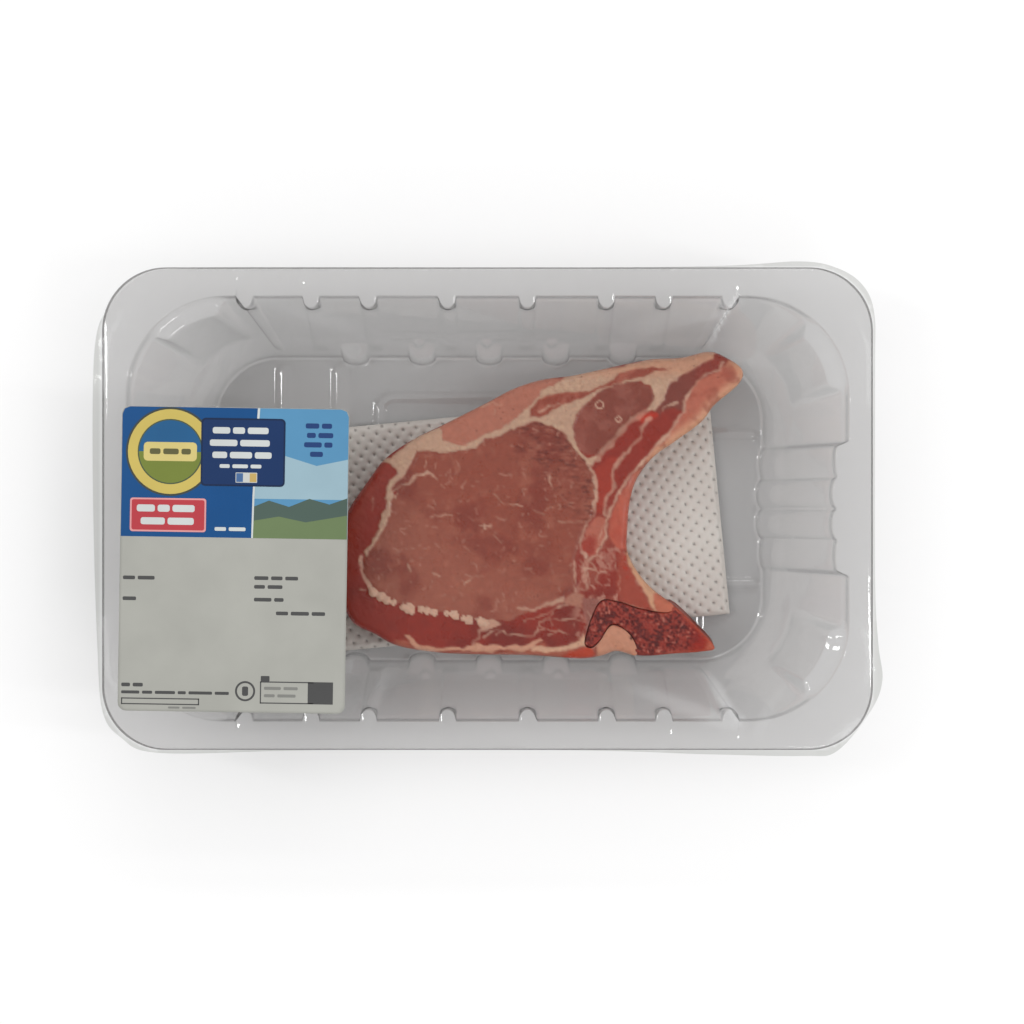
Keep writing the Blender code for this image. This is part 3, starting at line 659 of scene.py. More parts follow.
WEB = (
    ((2.4, -38.7), (4.9, -37.5), (5.7, -38.5), (8.1, -38.9), (13.9, -39.3), (14.7, -37.7), (18, -36.9)),
    ((-1.3, -39.8), (0.3, -38.1), (3.2, -37.3)),
    ((11, -34.6), (14.3, -33.6), (17.6, -32.4), (22, -30.3)),
    ((15.1, -37.7), (15.9, -34.8), (19.2, -34)),
    ((18.4, -38.9), (22, -37.3)),
    ((15.9, -32.8), (19.6, -31.6), (22, -29.9), (24.5, -29.9)),
    ((17.5, -33.8), (22.4, -34.2), (26.9, -33.8), (30, -34.8)),
    ((20, -32), (18.3, -33.6), (20, -35.7)),
    ((30, -34.8), (29.8, -37.7), (28.2, -39.8)),
    ((15.9, -36.1), (19.1, -37.3), (22.4, -37.7), (24.1, -38.5)),
    ((27.5, -24.4), (29.8, -19.7), (30.4, -23), (30, -24.8), (27.5, -24.4)),
    ((30.4, -18.9), (31.1, -23), (30.8, -24.6)),
    ((29.8, -14.8), (32.3, -17.2), (33.9, -19.7), (36.4, -18.9)),
    ((33.9, -19.7), (32.9, -22.1), (34.9, -23.8)),
    ((31, -15.6), (33.1, -14.4), (35.1, -14.8)),
    ((40.5, -20.5), (40.3, -25.4), (38.8, -28.3)),
    ((28.2, -15.6), (29.8, -18.9)),
    ((27.8, -17.6), (30.2, -18.4), (33.1, -18.9)),
    ((33.5, -27.1), (35.5, -30.3), (35.5, -35.2)),
    ((30.8, -31.6), (31.9, -34.4)),
    ((34.5, -29.9), (34.7, -35.7)),
    ((38, -12.7), (39.2, -15.6), (39, -18.4)),
    ((35.5, -15.6), (37.2, -17.2), (37.6, -18.9)),
    ((38.8, -28.7), (42.5, -29.9), (46.2, -30.3)),
    ((21.2, 32.4), (20, 31.5), (18.3, 31.5), (16.7, 30.3)),
    ((15.9, 29.9), (19.2, 32), (22, 32.6)),
    ((-8.3, 32), (-2.9, 31.5), (1.2, 32.4), (4, 32)),
    ((1.6, 29.1), (2, 30.3)),
    ((36.4, -3.7), (35.1, -6.2), (33.9, -10.7)),
    ((40.9, 5.3), (39.2, 2.5)),
    ((2, 4.5), (4, 2), (6.9, 1.2), (10.6, 0.6)),
    ((13.9, -0.6), (17.2, -1.6)),
    ((-7, -23), (-5, -21.3), (-1.9, -20.7)),
    ((-2.5, -5.1), (0.8, -5.3)),
    ((-1.3, -4.5), (-0.9, -6.6)),
    ((1.6, -8.2), (4, -10.3)),
    ((-24.6, -17.2), (-24, -19.3)),
    ((-16.9, -19.7), (-15.2, -20.7)),
    ((-23.8, -12.3), (-22.6, -12.3)),
    ((-17.7, -2.7), (-14, -1.9), (-11.1, -2.1)),
    ((-19.1, 14.7), (-19.3, 12.7)),
    ((18.7, 10.2), (19.6, 6.1)),
    ((-39.4, -24.8), (-36.9, -25.4)),
    ((-35.3, 3.3), (-35.9, -0.8)),
)
BEADS = (
    (-35.5, -25.8, 1.39), (-33, -27.1, 1.39), (-31.3, -28.2, 1.31), (-29.1, -28.8, 0.98),
    (-26.1, -30.3, 1.07),
    (-24.4, -30.7, 1.64), (-23.6, -31.8, 0.9), (-20.6, -30.9, 1.15), (-18.9, -31.4, 1.23),
    (-16.7, -31.9, 1.15), (-12.8, -32.2, 0.9), (-10.5, -32.6, 1.31), (-9.7, -33.6, 0.74), (-7.6, -33.8, 0.9),
    (-6, -34.3, 1.39), (-2.3, -34.6, 1.23), (-0.9, -35.2, 1.07),
)


def smooth_outline(points, steps):
    """A closed curve that passes softly through the points, with this many steps in each span."""
    points = np.asarray(points, float)
    before, after, last = (np.roll(points, shift, axis=0) for shift in (1, -1, -2))
    made = []
    for step in range(steps):
        t = step / steps
        made.append(0.5 * (2 * points + (after - before) * t
                           + (2 * before - 5 * points + 4 * after - last) * t * t
                           + (3 * points - before - 3 * after + last) * t**3))
    return np.stack(made, axis=1).reshape(-1, 2)


def cloud(points, scale, seed, octaves=3):
    """Soft noise about 0 at each point, with features of this size in millimetres."""
    return np.array(
        [noise.fractal(Vector((x / scale, y / scale, seed)), 1.0, 2.0, octaves) for x, y in points]
    )


def slab(outline, spacing, crown, bottom, rings):
    """A block with a shaped top: the filled outline first, then its sides in rings and a flat underside."""
    flat, faces = filled(outline, spacing)
    count = len(outline)
    after = np.roll(np.arange(count), -1)
    along = flat[after] - flat[np.arange(count) - 1]
    stride = np.maximum(np.linalg.norm(along, axis=1), 1e-9)[:, None]
    inner = np.column_stack((-along[:, 1], along[:, 0])) / stride
    top = crown(flat)
    points = [np.column_stack((flat, top))]
    made = [tuple(face) for face in faces]
    upper, start = np.arange(count), len(flat)
    edge_level = top[:count]
    for down, inset in rings:
        level = edge_level - down * (edge_level - bottom) / rings[-1][0]
        points.append(np.column_stack((flat[:count] + inner * inset, level)))
        lower = np.arange(start, start + count)
        made += list(zip(lower, lower[after], upper[after], upper))
        upper, start = lower, start + count
    under = geometry.tessellate_polygon([[Vector((x, y, 0)) for x, y in points[-1][:, :2]]])
    made += [tuple(int(upper[i]) for i in face) for face in under]
    return np.vstack(points), made, len(flat)


def face_down(piece):
    """Every face outward."""
    bpy.ops.object.select_all(action="DESELECT")
    bpy.context.view_layer.objects.active = piece
    piece.select_set(True)
    bpy.ops.object.mode_set(mode="EDIT")
    bpy.ops.mesh.select_all(action="SELECT")
    bpy.ops.mesh.normals_make_consistent(inside=False)
    bpy.ops.object.mode_set(mode="OBJECT")


def over(under, paint, share):
    """A colour laid over others where share is above 0."""
    share = np.clip(share, 0, 1)[:, None]
    return under * (1 - share) + np.array(colour(*paint)[:3]) * share


def wobbled(points, size=0.5, scale=2.2):
    return points + np.column_stack((cloud(points, scale, 3.1), cloud(points, scale, 9.7))) * size


def meat_look(points):
    """Colour, wetness and relief of the sawn face at each point."""
    shifted = wobbled(points)
    broad, patchy = cloud(points, 14, 1.3), cloud(points, 4.5, 5.5)
    fine = cloud(points, 1.1, 7.7, 2)
    x, y = points[:, 0], points[:, 1]

    def area(outline, soft=0.5, grow=0.0):
        return 1 - ramp(signed(shifted, outline) - grow, -soft, soft)

    def stroke(line, width, soft=0.35, rough=0.0, closed=False):
        away, along = segment_distance(shifted, line, closed)
        return 1 - ramp(away - width * (1 + rough * patchy) / 2, -soft / 2, soft)

    # the darker meat at the left and the bottom
    look = np.tile(np.array(colour(*LEFT_MEAT)[:3]), (len(points), 1))
    look = over(look, (160, 84, 70), 0.55 * ramp(-x + 0.5 * y, 30, 48) * ramp(patchy, -0.6, 0.5))
    look = over(look, (104, 36, 30), 0.6 * ramp(-y, 18, 34) * ramp(broad, -0.3, 0.4))
    # mixed meat between the eye and the rib
    mixed = ramp(x, 24, 29) * ramp(-y, -6, 8)
    look = over(look, MIXED_MEAT, 0.75 * mixed * ramp(patchy, -0.5, 0.2))
    streak_share = 0.55 * mixed * ramp(cloud(shifted, 2.4, 2.2), 0.12, 0.5) * ramp(-y, 4, 9)
    look = over(look, (200, 150, 132), streak_share)
    # eye
    eye = area(EYE, 0.35)
    eye_paint = np.tile(np.array(colour(*EYE_MEAT)[:3]), (len(points), 1))
    eye_paint = over(eye_paint, (160, 98, 82), 0.65 * ramp(-0.55 * x - y, -2, 30))
    eye_paint = over(eye_paint, (112, 52, 42), 0.75 * ramp(x + 0.8 * y, 18, 44) * (0.75 + 0.5 * broad))
    eye_paint = over(eye_paint, (124, 52, 42), 0.6 * ramp(broad, 0.05, 0.5))
    eye_paint = over(eye_paint, (168, 106, 88), 0.35 * ramp(patchy, 0.15, 0.7))
    look = look * (1 - eye[:, None]) + eye_paint * eye[:, None]
    # cap muscle, and the rib's meat
    cap = area(CAP, 0.5)
    look = over(look, CAP_MEAT, cap)
    look = over(look, (140, 70, 58), 0.7 * cap * ramp(broad + 0.4 * patchy, 0.0, 0.5))
    look = over(look, (186, 126, 108), 0.6 * cap * ramp(-signed(points, CHOP_EDGE), -4, -0.5))
    rib = area(RIB_LIGHT, 0.5)
    look = over(look, RIB_MEAT, rib)
    edge_away = -signed(points, CHOP_EDGE)
    look = over(look, (212, 160, 130), 0.9 * rib * (1 - ramp(edge_away, 0.5, 4.2)) * ramp(y, 10, 18))
    look = over(look, (150, 74, 62), 0.55 * rib * ramp(patchy, 0.0, 0.6))
    look = over(look, (190, 84, 68), 0.5 * rib * ramp(-y, -12, 2) * (1 - ramp(-y, 12, 20)))
    dark_rib = area(RIB_DARK, 0.45)
    look = over(look, (124, 62, 52), dark_rib)
    look = over(look, (150, 62, 52), 0.6 * dark_rib * ramp(x, 60, 68))
    # strip between the skins, oval muscle and the meat by the bone
    look = over(look, (158, 62, 50), area(STRIP_RED, 0.45))
    look = over(look, (178, 104, 88), area(OVAL, 0.4))
    look = over(look, (156, 58, 48), 0.85 * area(OVAL_RED, 0.9))
    look = over(look, (176, 118, 104), 0.6 * area(PALE_PATCH, 0.9) * ramp(fine, -0.4, 0.3))
    foot = area(RIB_FOOT, 0.7)
    look = over(look, (158, 74, 60), foot)
    look = over(look, (176, 62, 50), 0.6 * foot * ramp(patchy, 0.0, 0.4))
    look = over(look, (146, 92, 82), area(PALE_MUSCLE, 0.5))
    # fat
    fat = area(FAT, 0.35)
    cream = np.tile(np.array(colour(*FAT_CREAM)[:3]), (len(points), 1))
    cream = over(cream, (160, 118, 98), 0.45 * ramp(patchy, 0.0, 0.6))
    cream = over(cream, (204, 172, 146), 0.5 * ramp(fine + 2 * patchy, 0.15, 0.9))
    cream = over(cream, (196, 142, 116), 0.6 * ramp(y, 39, 43))
    look = look * (1 - fat[:, None]) + cream * fat[:, None]
    wedge = area(WEDGE, 0.4)
    look = over(look, (146, 74, 60), wedge)
    look = over(look, (176, 108, 92), 0.5 * wedge * ramp(patchy, 0.1, 0.5))
    round_meat = area(ROUND, 0.4)
    look = over(look, ROUND_MEAT, round_meat)
    look = over(look, (150, 84, 72), 0.5 * round_meat * ramp(-x, -34, -27))
    look = over(look, (156, 96, 84), 0.5 * round_meat * ramp(patchy, 0.0, 0.6))
    look = over(look, (186, 66, 54), 0.9 * area(RED_PATCH, 0.6))
    for outline, paint, soft in (
        (EDGE_CREAM, (206, 158, 128), 0.5), (EDGE_SALMON, (190, 112, 90), 0.6),
        (JOINT_FAT, (170, 116, 98), 0.5),
        (SOLE_PEACH, (168, 96, 78), 0.8), (SOLE_FAT, (202, 150, 126), 0.35),
        (SOLE_FAT_RIGHT, (208, 164, 138), 0.4),
        (SOLE_RED, (180, 74, 56), 0.6), (CARTILAGE, (196, 140, 116), 0.4),
        (PALE_TRIANGLE, (190, 146, 126), 0.3),
    ):
        look = over(look, paint, area(outline, soft))
    # the hole is painted near black: painted shade inside it, over the small dent made in the relief below
    hole = np.linalg.norm(points - np.array(HOLE_AT), axis=1)
    look = over(look, (70, 18, 16), 1 - ramp(hole, 0.3, 0.9))

    # white skins and seams
    relief = 0.15 * broad + 0.08 * patchy
    white = np.zeros(len(points))
    for line, width, share in (
        (BRANCH, 0.7, 0.8), (EYE_RIGHT, 0.75, 0.75), (EYE_WALL, 0.4, 0.75), (EYE_TWIG, 0.3, 0.4),
        (EYE_FOOT, 0.8, 0.75), (LEFT_LINE, 1.1, 0.9), (FASCIA, 0.55, 0.75), (FASCIA_INNER, 0.8, 0.6),
        (RIB_TWIG, 0.4, 0.6), (ROUND_EDGE, 1.5, 0.5), (ROUND_SEAM, 1.3, 0.5), (MEAT_LINE, 0.4, 0.6),
    ):
        white = np.maximum(white, share * (0.72 + 0.4 * patchy) * stroke(line, width, 0.4, 0.8))
    for line in WEB:
        white = np.maximum(white, (0.26 + 0.3 * ramp(patchy, -0.3, 0.5)) * stroke(line, 0.3, 0.35, 0.9))
    for centre, radius in (((34.3, 32), 1.15), ((40.1, 27.6), 0.8)):
        ring_away = np.abs(np.linalg.norm(points - np.array(centre), axis=1) - radius)
        white = np.maximum(white, 0.7 * (1 - ramp(ring_away, 0.1, 0.35)))
    look = over(look, (208, 172, 150), white)

    # short pale flecks of fat in the eye, the same ones each time
    marks = np.random.default_rng(11)
    flecks = np.zeros(len(points))
    for number in range(260):
        spot = np.array((marks.uniform(-36, 32), marks.uniform(-33, 25)))
        heading, length = marks.uniform(0, math.pi), marks.uniform(0.2, 2.4) * (1 if number % 3 else 0.3)
        half_step = length / 2 * np.array((math.cos(heading), math.sin(heading)))
        near = np.abs(points - spot).max(1) < 3
        away = segment_distance(shifted[near], (spot - half_step, spot + half_step))[0]
        strength = marks.uniform(0.12, 0.45)
        flecks[near] = np.maximum(flecks[near], strength * (1 - ramp(away, 0.05, 0.42)))
    look = over(look, (196, 150, 132), flecks * eye)
    # dark grain of the eye's upper right, drawn out across it
    dashes = cloud(np.column_stack((points[:, 0] / 2.4, points[:, 1] / 0.75)), 0.9, 4.4, 2)
    grain = ramp(x + 0.9 * y, 14, 36) * eye
    look = over(look, (88, 34, 28), 0.6 * grain * ramp(dashes, 0.15, 0.55))
    look = over(look, (172, 112, 96), 0.35 * grain * ramp(-dashes, 0.2, 0.6))

    # beads of fat below the eye
    bead_rise = np.zeros(len(points))
    for bx, by, radius in BEADS:
        away = np.linalg.norm(points - np.array((bx, by)), axis=1)
        bead_rise = np.maximum(bead_rise, dome(away, radius * 1.05))
    look = over(look, (206, 168, 146), 0.95 * ramp(bead_rise, 0.05, 0.35))
    relief += 0.7 * bead_rise + 0.25 * white + 0.25 * fat + 0.2 * area(SOLE_FAT, 0.6)
    relief -= 0.3 * (1 - ramp(np.abs(signed(shifted, EYE)), 0.1, 1.1)) * (1 - fat)
    relief -= 0.9 * (1 - ramp(hole, 0.2, 1.0))
    relief += 0.07 * fine
    wet = np.clip(0.36 - 0.1 * fat + 0.25 * cloud(points, 6, 6.1), 0.12, 0.7)
    return np.column_stack((look, np.ones(len(points)))), wet, relief


def crown(reach, flat, edge, relief):
    """Height of the top: level inside, rounded over towards the edge."""
    inward = np.clip(-signed(flat, edge), 0, reach)
    return CHOP_TOP - 0.9 - reach + np.sqrt(np.clip(reach**2 - (reach - inward) ** 2, 0, None)) + relief


def raw_flesh(name, grain_scale, soft_light, wetness, richness, speck=0.5):
    """Moist raw meat: painted colour with finer mottling, a faint bump and a soft uneven gloss."""
    made, node = blank(name)
    place = node("ShaderNodeTexCoord").outputs["Object"]
    painted = node("ShaderNodeAttribute", {"attribute_name": "tone"}).outputs["Color"]
    wet = node("ShaderNodeAttribute", {"attribute_name": "wet"}).outputs["Fac"]
    mottle = node("ShaderNodeTexNoise", Vector=place, Scale=grain_scale, Detail=4.0, Roughness=0.6)
    swing = node(
        "ShaderNodeMapRange", Value=mottle.outputs[0], From_Min=0.3, From_Max=0.7, To_Min=0.9, To_Max=1.08
    )
    tone = node("ShaderNodeVectorMath", {"operation": "SCALE"}, _0=painted)
    made.node_tree.links.new(swing.outputs[0], tone.inputs["Scale"])
    surface_colour = node(
        "ShaderNodeHueSaturation", Saturation=richness, Value=0.96, Color=tone.outputs[0]
    ).outputs[0]
    dots = node("ShaderNodeTexVoronoi", Vector=place, Scale=grain_scale * 0.9, Randomness=1.0)
    dot = node(
        "ShaderNodeMapRange", Value=dots.outputs["Distance"], From_Min=0.08, From_Max=0.2, To_Min=1.0,
        To_Max=0.0
    )
    rare = node("ShaderNodeTexNoise", Vector=place, Scale=grain_scale * 0.45, Detail=1.0)
    some = node(
        "ShaderNodeMapRange", Value=rare.outputs[0], From_Min=0.55, From_Max=0.62, To_Min=0.0, To_Max=speck
    )
    share = node(
        "ShaderNodeMath", {"operation": "MULTIPLY"}, _0=dot.outputs[0], _1=some.outputs[0]
    ).outputs[0]
    surface_colour = node("ShaderNodeMix", {"data_type": "RGBA"}, Factor=share, _6=surface_colour,
                          _7=colour(74, 26, 22)).outputs[2]
    dent = node("ShaderNodeBump", Strength=0.35, Distance=0.0003, Height=mottle.outputs[0])
    gloss = node("ShaderNodeTexNoise", Vector=place, Scale=220.0, Detail=2.0)
    uneven = node(
        "ShaderNodeMapRange", Value=gloss.outputs[0], From_Min=0.3, From_Max=0.7, To_Min=-0.1, To_Max=0.12
    )
    rough = node("ShaderNodeMath", {"operation": "ADD"}, _0=wet, _1=uneven.outputs[0]).outputs[0]
    flesh = node(
        "ShaderNodeBsdfPrincipled", Base_Color=surface_colour, Roughness=rough, Normal=dent.outputs[0],
        Subsurface_Weight=soft_light, Subsurface_Scale=0.0018, Subsurface_Radius=(1.0, 0.35, 0.25),
        Specular_IOR_Level=wetness,
    )
    node("ShaderNodeOutputMaterial", Surface=flesh.outputs[0])
    return made


BONE_OUTLINE = (
    (57.2, -29.9), (64.8, -36.9), (69.8, -42.7), (66, -44), (58, -44.6), (46, -45.1), (44.8, -40.3),
    (41.2, -36.6),
    (37.6, -36.0), (34.3, -40.8), (31.5, -42.8), (29.8, -40.3), (34, -29.1), (39.4, -28.5), (47, -30.8),
    (55, -32),
)
LEFT_MEAT, EYE_MEAT, CAP_MEAT, RIB_MEAT = (142, 52, 42), (145, 77, 62), (156, 88, 70), (182, 108, 90)
MIXED_MEAT, ROUND_MEAT, FAT_CREAM = (152, 80, 66), (130, 66, 54), (188, 152, 130)
HOLE_AT = (44.1, -39.8)
CHOP_EDGE = smooth_outline(CHOP_OUTLINE, 6)
chop_relief = {}


def chop_crown(flat):
    chop_relief["tone"], chop_relief["wet"], relief = meat_look(flat)
    inward = np.clip(-signed(flat, CHOP_EDGE), 0, 3.0)
    # where the bone fits in, the meat runs level up to it
    by_bone = 1 - ramp(np.abs(signed(flat, BONE_OUTLINE)), 1.0, 2.5)
    level = CHOP_TOP - 0.9 + relief * ramp(inward, 0, 1.6)
    return by_bone * level + (1 - by_bone) * crown(2.2, flat, CHOP_EDGE, relief * ramp(inward, 0, 1.6))


points, faces, top_count = slab(CHOP_EDGE, 0.47, chop_crown, CHOP_BOTTOM, SIDE_RINGS)
extra = len(points) - top_count
edge_tone = chop_relief["tone"][: len(CHOP_EDGE)]
tone = np.vstack((chop_relief["tone"],
        np.tile(edge_tone * np.array((0.9, 0.82, 0.8, 1)), (len(SIDE_RINGS), 1))))
wet = np.concatenate((chop_relief["wet"], np.full(extra, 0.35)))
chop = mesh_piece("loin_chop", points, faces, raw_flesh("raw_meat", 620.0, 0.15, 0.4, 1.07),
                  values={"tone": tone, "wet": wet})
face_down(chop)
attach(chop, "root")
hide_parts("chop")

# ---------------------------------------------------------------- bone
# The sawn end of the rib bone: dark red spongy marrow in a thin wall, with a pale tip of hard bone.

BONE_TIP = (69.8, -42.7)


def bone_look(points):
    """Colour, wetness and relief of the sawn bone: small cells of marrow between thin walls."""
    cells = np.array([noise.cell_vector(Vector((x / 0.9, y / 0.9, 0)))[0] for x, y in points])
    cells = 0.5 * cells + 0.5 * cloud(points, 0.8, 8.8, 2)
    patchy, broad = cloud(points, 2.5, 3.3), cloud(points, 7, 1.1)
    look = np.tile(np.array(colour(146, 62, 54)[:3]), (len(points), 1))
    look = over(look, (76, 16, 15), 0.95 * ramp(cells + 0.3 * patchy, 0.1, 0.5))
    look = over(look, (196, 132, 116), 0.85 * ramp(-cells + 0.3 * broad, 0.02, 0.4))
    look = over(look, (96, 26, 24), 0.5 * ramp(patchy, 0.1, 0.6) * (1 - ramp(points[:, 0], 52, 60)))
    look = over(look, (160, 44, 34), 0.7 * ramp(points[:, 0], 60, 66))
    look = over(look, (188, 110, 90), 1 - ramp(np.linalg.norm(points - np.array(BONE_TIP), axis=1), 1.0, 4.0))
    rim = -signed(points, BONE_EDGE)
    look = over(look, (176, 90, 74), 0.7 * (1 - ramp(rim, 0.2, 1.3)) * ramp(points[:, 0], 50, 58))
    wet = np.clip(0.45 + 0.2 * cells, 0.2, 0.8)
    return np.column_stack((look, np.ones(len(points)))), wet, -0.25 * ramp(cells, 0.0, 0.5) + 0.12 * patchy


BONE_EDGE = smooth_outline(BONE_OUTLINE, 5)
bone_relief = {}


def bone_crown(flat):
    bone_relief["tone"], bone_relief["wet"], relief = bone_look(flat)
    inward = np.clip(-signed(flat, BONE_EDGE), 0, 2.0)
    return crown(0.8, flat, BONE_EDGE, relief * ramp(inward, 0, 0.8)) + 0.1


points, faces, top_count = slab(BONE_EDGE, 0.36, bone_crown, CHOP_BOTTOM,
        ((5.0, 0.05), (11.0, 0.15), (15.0, 1.2)))
edge_tone = bone_relief["tone"][: len(BONE_EDGE)]
tone = np.vstack((bone_relief["tone"], np.tile(edge_tone * np.array((0.9, 0.8, 0.8, 1)), (3, 1))))
wet = np.concatenate((bone_relief["wet"], np.full(len(points) - top_count, 0.4)))
bone = mesh_piece("rib_bone", points, faces, raw_flesh("raw_bone", 900.0, 0.08, 0.36, 1.1, 0.8),
                  values={"tone": tone, "wet": wet})
face_down(bone)
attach(bone, "root")
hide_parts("bone")

# ---------------------------------------------------------------- lid film
# The lid is a thin clear film sealed hot to the flange, stretched flat over the middle, gathered into small
# pleats at the corners, and trimmed just outside the rim with a small ear at the lower right.

FILM_LEVEL = 36.35
FILM_OUTLINE = (
    # anticlockwise from the lower left
    (-109, -68), (-98, -72.6), (-60, -72), (-20, -71.4), (35, -72), (65, -73), (94, -73.5), (104, -72),
    (114, -60), (117.4, -51), (116.2, -40), (115.2, -20), (115.2, 40), (115.0, 58), (111.5, 66.5),
    (104, 71.5), (93, 73.5), (70, 72.2), (20, 71.6), (-60, 71.8), (-92, 71.4), (-104, 68.6),
    (-112.5, 60), (-116.5, 50), (-117.4, 25), (-117, -10), (-116, -40), (-114.5, -60),
)
PLEATS = (
    # drawn line, width, height, strength of the highlight painted along it
    (((76, 66), (70, 57), (64, 46.5)), 1.0, 0.35, 0.34),
    (((74, 64), (55, 57), (33.5, 48.6)), 5.0, 0.30, 0.05),
    (((76, -66), (70, -56), (63, -46)), 2.6, 0.40, 0.20),
    (((75, -65), (53, -57), (35, -51)), 3.6, 0.35, 0.12),
    (((80, -68), (84, -58), (92, -50)), 2.0, 0.30, 0.06),
    (((82, 68), (88, 58), (97, 50)), 2.0, 0.25, 0.04),
    (((-72, 63.5), (-50, 57), (-26, 48.6)), 4.0, 0.22, 0.04),
    (((-36, -66), (-33, -56), (-27.5, -43.5)), 2.6, 0.25, 0.06),
    (((113, -62), (106, -66), (99, -71)), 1.4, 0.3, 0.20),
    (((110, -64), (104, -69)), 0.9, 0.25, 0.28),
    (((112, -34), (113.5, -48), (111, -58)), 1.2, 0.25, 0.16),
    (((113, 30), (113.5, 48), (108, 60)), 1.2, 0.25, 0.14),
    (((-114, 34), (-113, 50), (-106, 62)), 1.3, 0.25, 0.16),
    (((-114, -30), (-113, -50), (-106, -62)), 1.3, 0.25, 0.14),
    (((78, 62), (66, 57), (52, 54)), 1.4, 0.22, 0.10),
    (((78, -62), (60, -60), (44, -60)), 1.4, 0.25, 0.12),
)
CORNER_RAYS = ((86, 44), (86, -44), (-86, 44), (-86, -44))  # where the small pleats fan out from


def film_height(points):
    """Level of the film above its seal, and the strength of the highlight painted along each pleat."""
    lift = 0.12 * cloud(points, 28, 2.7, 2)
    pleat_highlight = np.zeros(len(points))
    for line, width, height, highlight_strength in PLEATS:
        away, along = segment_distance(wobbled(points, 0.8, 9), line)
        total = segment_distance(np.array(line[-1:], float), line)[1][0]
        fade = ramp(along, 0, 3) * (1 - ramp(along, 0.55 * total, total + 0.01))
        lift += height * fade * np.exp(-((away / width) ** 2))
        pleat_highlight = np.maximum(pleat_highlight, highlight_strength * fade * (1 - ramp(away, 0.15 * width, width)))
    for corner in CORNER_RAYS:
        offset = points - np.array(corner)
        reach, angle = np.linalg.norm(offset, axis=1), np.arctan2(offset[:, 1], offset[:, 0])
        fan_height = 0.10 * ramp(reach, 10, 24) * (1 - ramp(reach, 34, 44))
        lift += fan_height * np.sin(15 * angle + corner[0] + corner[1])
    return lift, pleat_highlight


FILM_EDGE = smooth_outline(FILM_OUTLINE, 8)
flat, film_faces = filled(FILM_EDGE, 0.95)
lift, pleat_highlight = film_height(flat)
under_label = 1 - ramp(box_distance(flat, (-75.4, -15.2), (34.5, 46), 2), 0, 6)
lift = lift * (1 - under_label)
lift = np.clip(lift, -0.25, 0.6) * ramp(-signed(flat, FILM_EDGE), 0, 2.0)
points = np.column_stack((flat, FILM_LEVEL + lift))
# outside the rim the trimmed film lies doubled against the edge, and takes more light
layers = ramp(box_distance(flat, (0, 0), (LENGTH / 2, WIDTH / 2), RIM_RADIUS), -0.7, 0.3)
# the pleat attribute paints highlights along the pleats as white haze
film_clear = clear_sheet("lid_film", (0.94, 0.94, 0.94), 0.014, 0.07, 0.0, "pleat")
film = mesh_piece("lid_film", points, film_faces, film_clear, values={"pleat": pleat_highlight, "layers": layers})
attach(film, "root")
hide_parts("film")

# ---------------------------------------------------------------- label
# The label is one sheet of semi-gloss paper stuck on the film, with rounded corners and a slightly lifted
# right edge. Its print is only plain fields of colour, discs and bars.

LABEL_SIZE, LABEL_CENTRE, LABEL_TURN = (67.5, 90.5), (-75.4, -15.2), math.radians(-0.9)
LABEL_RADIUS, LABEL_BOTTOM, LABEL_TOP = 2.4, 36.72, 36.84
PAPER = (166, 166, 159)


def label_lift(points):
    """Paper level above its flat place, from label coordinates: right and down from its top left corner."""
    right = ramp(points[:, 0], LABEL_SIZE[0] - 9, LABEL_SIZE[0])
    return 0.22 * right**2 + 0.05 * np.sin(points[:, 1] / 9.0) * right


def on_label(points, level):
    """Label coordinates turned into the pack's place."""
    local = np.column_stack((points[:, 0] - LABEL_SIZE[0] / 2, LABEL_SIZE[1] / 2 - points[:, 1]))
    cos, sin = math.cos(LABEL_TURN), math.sin(LABEL_TURN)
    placed = local @ np.array(((cos, sin), (-sin, cos))) + np.array(LABEL_CENTRE)
    return np.column_stack((placed, level + label_lift(points)))


def round_box(left, top, right, bottom, radius=0.3):
    """A rectangle with round corners in label coordinates."""
    made = []
    for cx, cy, start in ((right - radius, top + radius, -90), (right - radius, bottom - radius, 0),
                          (left + radius, bottom - radius, 90), (left + radius, top + radius, 180)):
        for step in range(5):
            angle = math.radians(start + 22.5 * step)
            made.append((cx + radius * math.cos(angle), cy + radius * math.sin(angle)))
    return made


def close_points(outline, step=1.4):
    """The same outline with points no further apart than this."""
    made = []
    for start, end in zip(np.array(outline, float), np.roll(np.array(outline, float), -1, axis=0)):
        pieces = max(1, int(np.linalg.norm(end - start) / step))
        made += [start + (end - start) * k / pieces for k in range(pieces)]
    return made


def disc(x, y, radius, start=0.0, sweep=360.0):
    steps = 48
    return [(x + radius * math.cos(math.radians(start + sweep * k / steps)),
             y + radius * math.sin(math.radians(start + sweep * k / steps)))
             for k in range(steps + (sweep < 360))]


def frame_lines(left, top, right, bottom, wide):
    """Four thin bars round a box."""
    return [round_box(left, top, right, top + wide, wide / 3),
            round_box(left, bottom - wide, right, bottom, wide / 3),
            round_box(left, top, left + wide, bottom, wide / 3),
            round_box(right - wide, top, right, bottom, wide / 3)]


def bars(rows, high):
    """Rows of short bars, as a stand-in for lines of print: left, top and the length of each bar."""
    made = []
    for left, top, lengths in rows:
        for length in lengths:
            made.append(round_box(left, top, left + length, top + high, high / 3))
            left += length + 0.8
    return made


